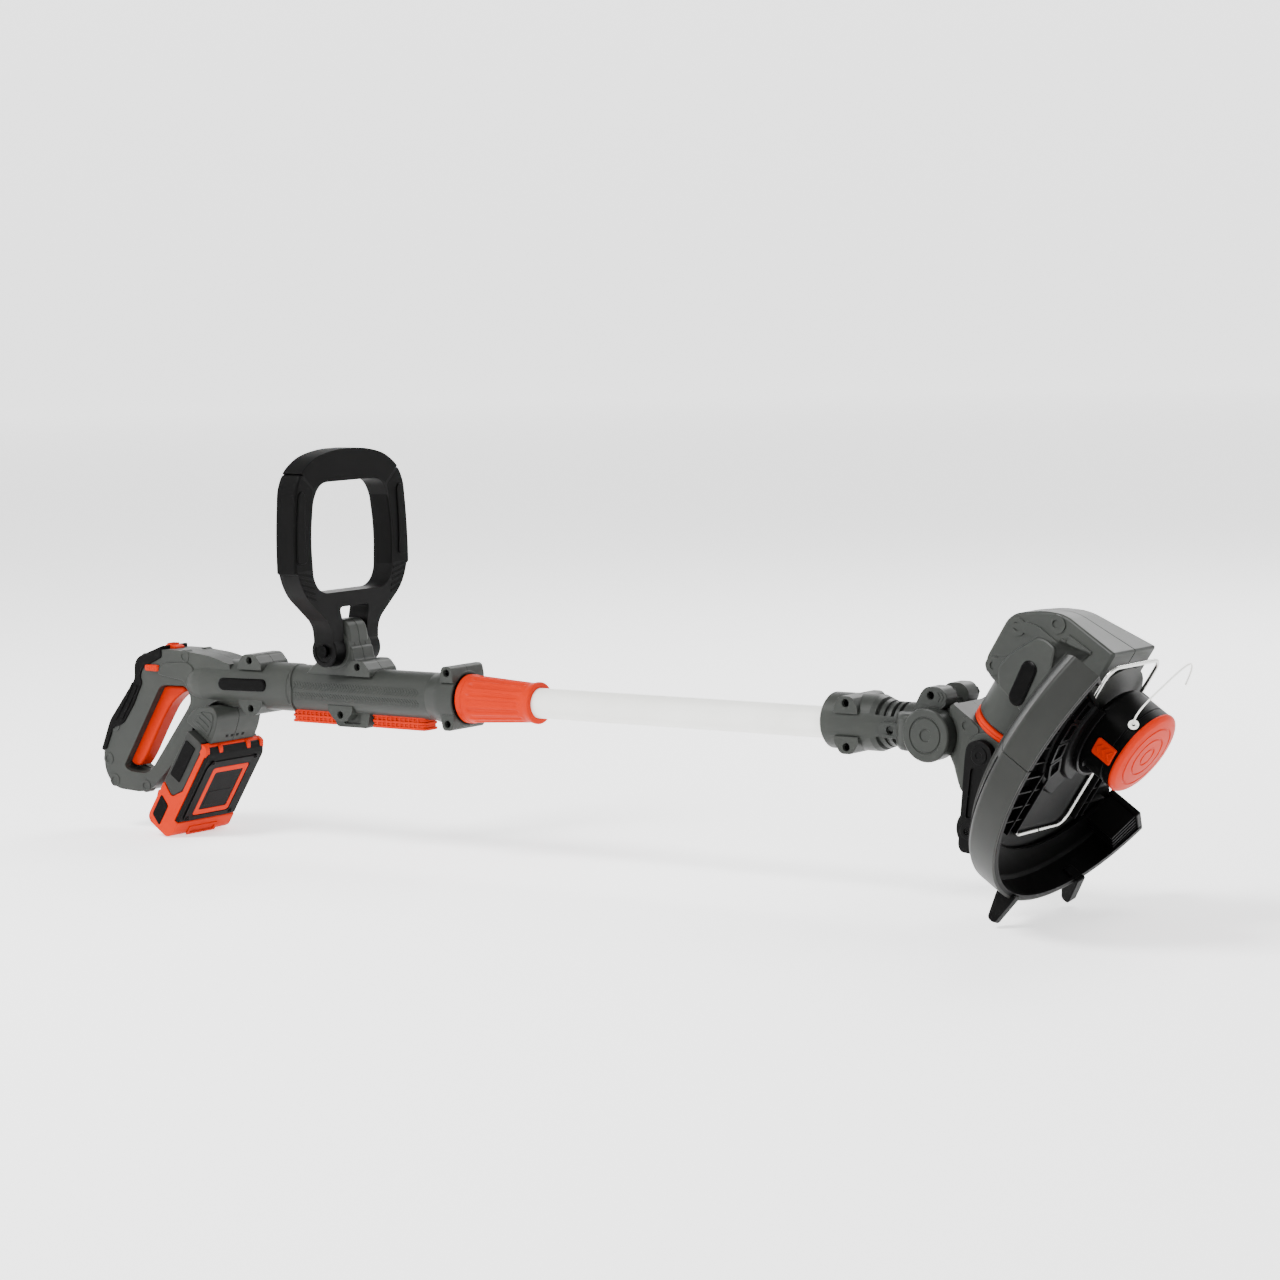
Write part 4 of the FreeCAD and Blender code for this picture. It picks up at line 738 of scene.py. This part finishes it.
def neckHalf():
    plain = [(r, x) for x, r in neck["drum"]]
    slotted = plain[:3]
    for x in neck["slots"]:
        for at, deep in ((x, 0), (x, 1), (x + neck["slotWidth"], 1), (x + neck["slotWidth"], 0)):
            flare = 22 - 4.5 * min(1, (at - 234) / 12)
            slotted.append((flare - deep * neck["slotDepth"], at))
        if x < 246 < neck["slots"][neck["slots"].index(x) + 1]:
            slotted.append((17.5, 246.2))
    slotted.append(plain[-1])
    close = [(0, plain[-1][1]), (0, neck["end"])]
    centre = (0, 0, neck["rise"])
    parts = [turned(slotted + close, "X", centre, 0.4, 64), turned(plain + close, "X", centre, 64.4, 51),
             turned(slotted + close, "X", centre, 115.4, 64.2)]
    parts.append(slab(neck["shoulder"], -14, 14.5, "XY", edge=4, steps=3, lip=4))
    parts.append(turned([(6, -19.6), (20.2, -19.6), (20.2, -30.8, 1), (6, -30.8)], "Y",
                        (neck["tiltX"], 0, 0)))
    x, z, face = neck["screws"][3]
    parts.append(slab(neck["ear"], -8, -face, edge=1.8, steps=3, holes=[circle(x, z, 3.3)], lip=1.2))
    parts.append(slab(neck["earFoot"], seam, -10, edge=0, lip=0.4))
    for i in range(3):
        path = [(298.5 + 3 * i, 24.5), (300.5 + 3 * i, 28), (298.5 + 3 * i, 31.5)]
        parts.append(bead([((x, -face, z), (0, -1, 0)) for x, z in path], 1.1, 0.5))
    for x, z, face in neck["screws"][:2]:
        parts.append(lug(x, z, face, 11, 5.6))
    x, z, face = neck["screws"][2]
    parts.append(slab(capsule(x - 4, z, x + 4, z, 6.2), -12, -face, edge=1.4, holes=[circle(x, z, 3.3)]))
    return joined(*parts)


addPair("neckShell", neckHalf, "shaft", "greyAbs", "lower_shaft", ("neck_shell_right", "neck_shell_left"))
addPiece("neckScrews", joined(*[screwHead(*spot) for spot in neck["screws"]]), "shaft", "blackSteel",
         "lower_shaft", ["neck_screws"])
tiltDisc = turned(neck["disc"], "Y", (neck["tiltX"], 0, 0))
otherDisc = flipped(turned(neck["disc"], "Y", (neck["tiltX"], 0, 0)))
addPiece("tiltDiscs", joined(tiltDisc, otherDisc), "shaft", "greyAbs", "lower_shaft", ["tilt_discs"])
print("neck made")

# Yoke between the tilt joint and the swivel ring; its front is cut square to the motor's axis.
yoke = {
    "inner": [(300, 16, 2), (318, 26, 3), (334, 20.4, 6), (378, -9, 5), (380, -20, 3), (374, -30, 4),
              (352, -38, 8), (330, -45, 6), (317, -40, 5), (306, -16, 3), (299, -8)],
    "outer": [(309.5, 22.5, 2), (318, 27, 3), (334, 21, 6), (378, -9, 5), (380, -20, 3), (374, -30, 4),
              (352, -38, 8), (330, -45, 6), (317, -40, 5), (311.5, -20, 2)],
    "half": 26, "rim": 6, "roomRadius": 21.4, "knuckle": 17.5, "knuckleHalf": 19,
    "screws": [(325.5, 8.5), (325, -36), (368, -22)], "face": 26.8, "front": -55.6,
    "motorAxis": (464, 0, -10), "along": (0.5592, 0, 0.8290),
    "forkPivot": (341.4, -12.5),
}


def yokeHalf():
    turns = [math.radians(angle) for angle in range(-46, 52, 7)]
    room = [(neck["tiltX"] + yoke["roomRadius"] * math.cos(turn), yoke["roomRadius"] * math.sin(turn))
            for turn in turns]
    parts = [slab(yoke["outer"] + room, -19, -yoke["half"], edge=yoke["rim"], steps=4),
             slab(yoke["inner"], seam, -19.2, edge=0, lip=0.4),
             turned([(5.2, seam), (yoke["knuckle"], seam), (yoke["knuckle"], -yoke["knuckleHalf"], 0.8),
                     (5.2, -yoke["knuckleHalf"])], "Y", (neck["tiltX"], 0, 0))]
    for x, z in yoke["screws"]:
        parts.append(slab(capsule(x, z, x + 7 * (1 if x < 340 else -1), z - 3, 6.4, 4), -20, -yoke["face"],
                          edge=1.2, holes=[circle(x, z, 3.3)]))
    x, z = yoke["forkPivot"]
    parts.append(turned([(4.2, -20), (16.5, -20), (16.5, -27.6, 1), (4.2, -27.6)], "Y", (x, 0, z)))
    shape = joined(*parts)
    along = Vector(yoke["along"])
    geom = shape.verts[:] + shape.edges[:] + shape.faces[:]
    cut = bmesh.ops.bisect_plane(shape, geom=geom, plane_co=Vector(yoke["motorAxis"]) + along * yoke["front"],
                                 plane_no=along, clear_outer=True)
    rim = [item for item in cut["geom_cut"] if isinstance(item, bmesh.types.BMEdge)]
    bmesh.ops.holes_fill(shape, edges=rim, sides=0)
    return shape


addPair("yokeShell", yokeHalf, "shaft", "greyAbs", "yoke", ("yoke_shell_right", "yoke_shell_left"))
yokeScrews = joined(*[screwHead(x, z, yoke["face"]) for x, z in yoke["screws"]])
addPiece("yokeScrews", yokeScrews, "shaft", "blackSteel", "yoke", ["yoke_screws"])
swivel = {
    "height": 104,      # of the swivel's axis over the cap's face
    "ring": [(18, -55.3), (28, -55.3), (29, -54.4), (29, -52.6), (28.5, -52.3), (28.5, -51.8), (29, -51.5),
             (29, -49.9), (28.2, -49.1), (18, -49.1)],
}
ring = turned(swivel["ring"], "X", (0, 0, swivel["height"]), steps=96)
addPiece("swivelRing", ring, "head", "orangeAbs", "yoke", ["swivel_ring"])
print("yoke made")

# Guide fork and its roller: ribbed black ends on a grey middle.
guide = {
    "arm": [(329, -13, 3), (331, -4, 4), (341, 0, 4), (351, -5, 4), (353, -15, 5), (345, -48, 8),
            (338, -84, 3), (334, -87, 2), (324, -86, 2), (321.5, -81, 2), (325, -50, 10)],
    "panel": [(334, -22, 2), (345, -22, 2), (340, -46, 4), (334, -60, 2), (328.5, -60, 2), (330.5, -46, 4)],
    "inner": 28.1, "outer": 34.5, "pivot": (341.4, -12.5), "axle": (330, -70), "radius": 15.5, "half": 26.4,
    "middle": 9, "ribs": 14, "core": [(334, -20), (346, -20), (339, -62), (327, -62)],
    "bridge": box(324, -54.2, 329, -48.4, 1.5), "bridgeHalf": 28.4,
    "pivotCap": [(0, -33), (7, -33), (7, -35.1, 0.8), (3, -35.1), (2.4, -34.6), (0, -34.6)],
    "axleCap": [(3.05, -33), (6.4, -33), (6.4, -35.1, 0.7), (3.05, -35.1)],
}


def armHalf():
    x, z = guide["pivot"]
    far, low = guide["axle"]
    arm = slab(guide["arm"], -guide["inner"], -guide["outer"], edge=1.6, steps=3, holes=[guide["panel"]],
               lip=0.6)
    return joined(arm, slab(guide["core"], -guide["inner"] - 0.5, -guide["outer"] + 1.6, edge=0),
                  turned(guide["pivotCap"], "Y", (x, 0, z), steps=40),
                  turned(guide["axleCap"], "Y", (far, 0, low), steps=40))


bridge = slab(guide["bridge"], -guide["bridgeHalf"], guide["bridgeHalf"], edge=0)
addPiece("guideFork", joined(armHalf(), flipped(armHalf()), bridge), "shaft", "blackPp", "guide_fork",
         ["guide_fork"])


def makeRollerEnd():
    x, z = guide["axle"]
    r = guide["radius"]
    profile = [(3.1, -guide["half"]), (r - 1, -guide["half"]), (r, -guide["half"] + 1), (r, -25), (12.6, -25)]
    for y in (-20.6, -16, -11.4):
        profile += box(12.6, y - 0.8, r, y + 0.8)
    parts = [turned(profile[:-1] + [(r, -9.1), (3.1, -9.1)], "Y", (x, 0, z))]
    for i in range(guide["ribs"]):
        bar = slab(box(x - 0.7, z + 12, x + 0.7, z + r - 0.1),
                   -25.4, -10.4, edge=0)
        parts.append(spun(bar, 360 / guide["ribs"] * i, "Y", (x, 0, z)))
    return joined(*parts)


addPiece("rollerEnds", joined(makeRollerEnd(), flipped(makeRollerEnd())), "shaft", "blackPp", "guide_roller",
         ["guide_roller_ends"])
x, z = guide["axle"]
wide = guide["middle"]
tread = turned([(3.1, -wide), (15.4, -wide, 0.6), (15.4, -5.4), (14.7, -5), (14.7, -4.4), (15.4, -4),
                (15.4, 4), (14.7, 4.4), (14.7, 5), (15.4, 5.4), (15.4, wide, 0.6), (3.1, wide)],
               "Y", (x, 0, z))
addPiece("rollerTread", tread, "shaft", "greyAbs", "guide_roller", ["guide_roller_sleeve"])
print("guide fork and roller made")

# Motor housing, in the head frame: x away from the neck, z from the cap's face back to the housing.
motor = {
    "outline": [(60, 50.2, 2), (61, 98, 6), (53, 114, 6), (35, 136, 9), (-8, 136, 7), (-16, 129, 5),
                (-20, 104, 10), (-30, 70, 10), (-38, 60, 4), (-38, 50.2, 2)],
    "sunk": [(29, 131, 2), (38, 121, 3), (41, 112, 3), (40, 88, 4), (20, 81, 5), (4, 78, 5), (-14, 84, 3),
             (-13, 106, 4), (-12, 122, 4), (-5, 130, 3)],
    "panel": [(34, 108, 3), (37, 100, 3), (36, 91, 3), (19, 85, 4), (5.6, 82, 4), (-22, 90, 3), (-17, 116, 3),
              (-4.6, 123.4, 3), (10, 120, 4), (24, 113, 4)],
    "half": 33, "sunkAt": 30.4, "slant": (0.5, 0, 0.866), "waist": 75, "lean": 0.3,
    "screws": [(30, 126, 31.4), (51, 100, 31.4), (-7, 127, 31.4), (51, 59, 27.5), (-29, 60, 27.5)],
    "collar": [(14, -48.3), (27.4, -48.3), (28.6, -47, 1), (28.6, -14), (14, -14)],
    "vents": [(48, 66), (42, 70), (36, 74)], "badge": (-14.6, 98.4, 9.5, 100.6),
    "crownShift": (-0.535, 0.567),
}


def leanIn(shape):
    # beyond a slanting waist the flanks lean in, and the crown between them rises
    slant = Vector(motor["slant"])
    geom = shape.verts[:] + shape.edges[:] + shape.faces[:]
    bmesh.ops.bisect_plane(shape, geom=geom, plane_co=motor["waist"] * slant, plane_no=slant)
    for vert in shape.verts:
        lean = motor["lean"] * max(0.0, vert.co.dot(slant) - motor["waist"])
        inward = lean * min(1.0, abs(vert.co.y) / 30)
        back, up = motor["crownShift"]
        vert.co += Vector((back * lean, inward if vert.co.y < 0 else -inward, up * lean))
    return shape


def motorHalf():
    vents = [box(x, z, x + 2.6, z + 22, 0.8) for x, z in motor["vents"]]
    parts = [slab(motor["outline"], seam, -motor["sunkAt"], edge=11, steps=3, lip=0.6),
             slab(motor["sunk"], -24, -motor["sunkAt"] - 1.2, edge=1.2, holes=vents),
             slab(motor["panel"], -motor["sunkAt"] + 0.5, -motor["half"] - 0.1, edge=1.6)]
    for x, z, face in motor["screws"]:
        rim = [(x + 7.6 * math.cos(math.pi * (i + 0.5) / 4), z + 7.6 * math.sin(math.pi * (i + 0.5) / 4), 1.5)
               for i in range(8)]
        parts.append(slab(rim, -16, -face, edge=1.2, holes=[circle(x, z, 3.3)]))
    for i in range(5):
        parts.append(slab(box(4 + 5 * i, 134, 6.2 + 5 * i, 137), -2, -20,
                          edge=0.8, lip=0.8))
    return joined(leanIn(joined(*parts)),
                  turned(motor["collar"], "X", (0, 0, swivel["height"]), 0.4, 179.2, 96))


addPair("motorHousing", motorHalf, "head", "greyAbs", "motor_head",
        ("motor_housing_right", "motor_housing_left"))
housingScrews = joined(*[screwHead(*spot) for spot in motor["screws"]])
addPiece("housingScrews", leanIn(housingScrews), "head", "blackSteel", "motor_head", ["housing_screws"])
plate = blankBadge(motor["badge"], 6.6, -32, -34.1)
addPiece("housingBadge", leanIn(plate), "head", "glossBlack", "motor_head", ["housing_badge"])
print("motor housing made")

# Guard: deck, chamfered band, skirt and feet. Angles are about the motor's axis, 180 towards the roller.
guard = {
    "start": 132, "seam": 269, "end": 303, "deck": box(33, 47.2, 131, 50),
    "band": [(117, 47.4), (117, 50.5), (119, 51), (127.5, 50.8), (145, 38.4, 2), (145, 14.4, 0.6),
             (142.6, 14.4), (142.6, 38), (127, 48.6)],
    "liner": [(33, 46.2), (126.6, 46.4), (142.2, 36.6), (142.2, 17), (139.4, 16.6), (139.4, 14.2),
              (142.8, 14.2), (142.8, 38.6), (127.4, 48.2), (33, 47.6)],
    "shelf": [(118, 44), (118, 41.8), (130, 41.8), (139, 38.4), (142.3, 38.4), (142.3, 41.5), (131, 45.5)],
    "steps": 140, "spread": 19, "feet": (143.2, 166.3), 
    "deckRibs": [140, 150, 162, 174, 186, 198, 210, 222, 234, 246, 258, 270, 282, 294],
    "screws": [146, 172, 204, 236, 260],
    "ridges": ([(52, 49.5), (55, 49.5), (55, 51.6, 0.5), (52, 51.6, 0.5)],
               [(96, 49.5), (98.4, 49.5), (98.4, 51.4, 0.5), (96, 51.4, 0.5)]),
    "hub": [(40, 47), (40, 36), (48.5, 36, 0.6), (50, 40), (66, 41, 1), (68, 47)],
    "hubRim": [(38.4, 47), (38.4, 31.5, 0.5), (40.8, 31.5, 0.5), (40.8, 47)],
    "pockets": (236, 254, 272, 290), "pocket": [(51, -8, 1.5), (64, -9.5, 1.5), (64, 9.5, 1.5), (51, 8, 1.5)],
    "pocketHole": [(53.4, -5.8, 1), (61.6, -7, 1), (61.6, 7, 1), (53.4, 5.8, 1)],
    "wall": [(116, 14.5, 1), (116, 44, 1), (131, 44), (142.6, 41), (142.6, 14.5, 1)],
    "endWall": [(44, 47), (44, 36, 3), (70, 38, 6), (96, 34, 8), (118, 22, 6), (130, 14.6, 2), (142.4, 14.6),
                (142.4, 40), (127, 47.4)],
    "screw": [(0, 50), (3, 50), (3, 51.6, 0.6), (1.4, 52.2), (1.4, 51), (0, 51)], "screwRadius": 125,
}


def sector(profile, start, end):
    return turned(profile, "Z", start=start, sweep=end - start, steps=guard["steps"])


deckParts = [sector(guard["deck"], guard["start"], guard["end"]),
             sector(guard["band"], guard["seam"] + 0.25, guard["end"]),
             turned([(12, 47.2), (46, 47.2), (46, 50, 0.8), (12, 50)], steps=96)]
deckParts += [sector(ridge, 135, 300) for ridge in guard["ridges"]]
for angle in guard["deckRibs"]:
    deckParts.append(spun(slab(box(56, -1, 118, 1, 0.4), 49.6, 51.4, "XY", edge=0.5), angle))
addPiece("guardDeck", joined(*deckParts), "head", "darkAbs", "motor_head", ["guard_main"])
addPiece("guardSkirt", sector(guard["band"], guard["start"], guard["seam"]), "head", "darkAbs", "motor_head",
         ["guard_extension"])
linerParts = [sector(guard["liner"], guard["start"] + 0.3, guard["seam"] - 0.2),
              sector(guard["liner"], guard["seam"] + 0.4, guard["end"] - 0.3),
              sector(guard["shelf"], guard["start"] + 4, guard["seam"] - 3)]
for side in (-1, 1):
    near, far = guard["feet"]
    foot = slab([(near - 3, 11, 1), (near - 3, 27, 1), (near + 4, 26, 2), (far, 19, 2.5), (far, 12, 2.5)],
                -4.6, 4.6, edge=1.4, steps=3, lip=1.4)
    linerParts.append(spun(foot, 180 + side * guard["spread"]))
linerParts.append(spun(slab(guard["wall"], -0.2, 4, edge=0.8), guard["start"]))
for i in range(5):
    r = 118 + 5 * i
    fin = slab([(r, 16, 0.6), (r + 1.8, 16, 0.6), (r + 1.8, 42), (r, 42)], 3, 30, edge=0.6)
    linerParts.append(spun(fin, guard["start"]))
# channel walls beside the plant guard's wire, with short cross ribs, and a stepped hub round the line head
for side, front in ((-1, 24), (1, -42)):
    for y, low in ((41.2, 39.8), (52, 40.6)):
        linerParts.append(slab(box(-96, side * y, front, side * (y + 1.7)),
                               47, low, "XY", edge=0.4))
    for i in range(9):
        x = -84 + 14 * i
        if x < front:
            linerParts.append(slab(box(x, side * 42, x + 1.6, side * 76), 47,
                                   41.4, "XY", edge=0.3))
linerParts.append(sector(guard["hub"], 198, 300))
linerParts.append(sector(guard["hubRim"], 150, 302))
for angle in guard["pockets"]:
    pocket = slab(guard["pocket"], 42, 37.6, "XY", edge=0.8, holes=[guard["pocketHole"]])
    linerParts.append(spun(pocket, angle))
linerParts.append(spun(slab(guard["endWall"], -3, 0.2, edge=0.8, lip=0.6), guard["end"]))
addPiece("guardLiner", joined(*linerParts), "head", "blackPp", "motor_head")
heads = []
for angle in guard["screws"]:
    heads.append(spun(turned(guard["screw"], "Z", (guard["screwRadius"], 0, 0), steps=20), angle))
addPiece("guardScrews", joined(*heads), "head", "blackSteel", "motor_head", ["guard_screws"])
print("guard made")

# Line head: housing with eyelets, bump cap with concentric grooves and two tabs.
reel = {
    "cup": [(4.2, 36), (31.6, 36), (31.6, 6.6), (34, 6.6), (34, 12.4), (33.5, 12.8), (33.5, 13.6), (34, 14),
            (34, 36.5, 2), (29, 41, 2), (12, 41), (10.2, 49.4), (4.2, 49.4)],
    "cap": [(0, 0), (6, 0), (6.5, 0.7), (7.5, 0.7), (8, 0.05), (15, 0.15), (15.5, 0.9), (16.5, 0.9),
            (17, 0.25), (24, 0.6), (24.5, 1.4), (25.5, 1.4), (26, 0.8), (31.8, 1.7, 1), (34.6, 3.8, 1.2),
            (34.6, 6.2, 0.5), (31, 6.2), (31, 3.4), (0, 3.4)],
    "eyelet": [(1.2, 31.2), (3.1, 31.2), (3.1, 34.2), (4, 34.4, 0.5), (4, 35.6, 0.5), (1.8, 35.6, 0.5),
               (1.2, 34.8)],
    "lug": [(31, -5, 1), (36.4, -3.4, 1.4), (36.4, 3.4, 1.4), (31, 5, 1)], "tab": -95, "eye": -46,
    "eyeHeight": 12,
}
cup = [turned(reel["cup"], steps=96)]
for angle in (reel["eye"] + 90, reel["eye"] - 90):
    cup.append(spun(slab(reel["lug"], 30, 38, "XY", edge=1.4), angle))
addPiece("spoolCup", joined(*cup), "head", "blackPp", "spool", ["spool_housing"])
cap = [turned(reel["cap"], steps=96)]
for angle in (reel["tab"], reel["tab"] + 180):
    block = slab([(-7, 8.6, 1.2), (7, 8.6, 1.2), (7, 26.4, 2), (-7, 26.4, 2)], 30.6, 35.0, "YZ", edge=0.8)
    arrows = []
    for i in range(3):
        z = 12.6 + 4.6 * i
        arrows.append(bead([((35, -4, z - 1.8), (1, 0, 0)), ((35, 0, z + 1.6), (1, 0, 0)),
                            ((35, 4, z - 1.8), (1, 0, 0))], 1.3, 0.6))
    cap.append(spun(joined(block, *arrows), angle))
addPiece("spoolCap", joined(*cap), "head", "orangeAbs", "spool", ["spool_cap"])
eyes = []
for angle in (reel["eye"], reel["eye"] + 180):
    eyes.append(spun(turned(reel["eyelet"], "X", (0, 0, reel["eyeHeight"]), steps=32), angle))
addPiece("lineEyelets", joined(*eyes), "head", "whiteTube", "spool", ["line_eyelets"])
print("line head made")

# The cutting line: stiff 1.4 mm nylon that leaves its eyelet and curls at the cut end.
lineRoute = {
    "radius": 0.7 * mm,
    "points": [(0.4265, -0.0258, 0.0174), (0.4288, -0.0293, 0.0208), (0.4332, -0.0296, 0.0274),
               (0.4387, -0.0244, 0.0355), (0.4441, -0.0155, 0.0436), (0.4492, -0.0075, 0.0510),
               (0.4534, 0.0005, 0.0572), (0.4550, 0.0085, 0.0597), (0.4525, 0.0150, 0.0560),
               (0.4481, 0.0190, 0.0494), (0.4430, 0.0218, 0.0419)],
}


def makeLine():
    data = bpy.data.curves.new("cuttingLine", "CURVE")
    data.dimensions = "3D"
    data.bevel_depth = lineRoute["radius"]
    data.bevel_resolution = 4
    data.use_fill_caps = True
    spline = data.splines.new("NURBS")
    spline.points.add(len(lineRoute["points"]) - 1)
    for knot, place in zip(spline.points, lineRoute["points"]):
        knot.co = (*place, 1)
    spline.order_u = 3
    spline.use_endpoint_u = True
    spline.resolution_u = 12
    line = bpy.data.objects.new("cuttingLine", data)
    bpy.context.scene.collection.objects.link(line)
    data.materials.append(finishes["nylonLine"])
    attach(line, "spool")
    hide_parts("cutting_line")


makeLine()
print("cutting line made")

# A pale sweep: a floor under the battery's edge and the guard's feet that curves up into a wall all round.
studio = {"floor": -0.1368, "radius": 11.0, "curve": 2.0, "height": 7.0, "glow": 1.0, "world": 0.6,
          "lights": [("keyLight", (-0.9, -1.7, 2.6), 1.1, 150), ("fillLight", (2.2, -1.6, 0.9), 1.6, 14),
                     ("rimLight", (-0.2, 2.0, 1.9), 1.4, 60)]}


def makeStudio():
    shape = bmesh.new()
    low = studio["floor"]
    curve = [(studio["radius"] + studio["curve"] * math.sin(math.radians(a)),
              low + studio["curve"] * (1 - math.cos(math.radians(a)))) for a in range(0, 91, 10)]
    section = [(0.0, low)] + curve + [(studio["radius"] + studio["curve"], low + studio["height"])]
    line = [shape.verts.new((r, 0, z)) for r, z in section]
    for first, second in zip(line, line[1:]):
        shape.edges.new((first, second))
    bmesh.ops.spin(shape, geom=shape.verts[:] + shape.edges[:], cent=(0, 0, 0), axis=(0, 0, 1),
                   dvec=(0, 0, 0), angle=2 * math.pi, steps=72, use_merge=True, use_normal_flip=False,
                   use_duplicate=False)
    bmesh.ops.remove_doubles(shape, verts=shape.verts, dist=0.0005)
    bmesh.ops.recalc_face_normals(shape, faces=shape.faces[:])
    mesh = bpy.data.meshes.new("paperSweep")
    shape.to_mesh(mesh)
    shape.free()
    mesh.shade_smooth()
    floor = bpy.data.objects.new("paperSweep", mesh)
    bpy.context.scene.collection.objects.link(floor)
    # matt uncoated paper, lit a little from behind so that it stays pale in the shade
    shader = {"Base Color": linear("#fbfbfb"), "Roughness": 0.95, "Specular IOR Level": 0.0,
              "Emission Color": (1, 1, 1, 1), "Emission Strength": studio["glow"]}
    mesh.materials.append(startMaterial("palePaperSweep", shader)[0])
    world = bpy.data.worlds.new("studio")
    world.use_nodes = True
    world.node_tree.nodes["Background"].inputs["Color"].default_value = (1, 1, 1, 1)
    world.node_tree.nodes["Background"].inputs["Strength"].default_value = studio["world"]
    bpy.context.scene.world = world
    for name, place, size, power in studio["lights"]:
        lamp = bpy.data.lights.new(name, "AREA")
        lamp.energy = power
        lamp.size = size
        item = bpy.data.objects.new(name, lamp)
        item.location = place
        item.rotation_euler = (-Vector(place)).to_track_quat("-Z", "Y").to_euler()
        bpy.context.scene.collection.objects.link(item)


makeStudio()
print("studio made")
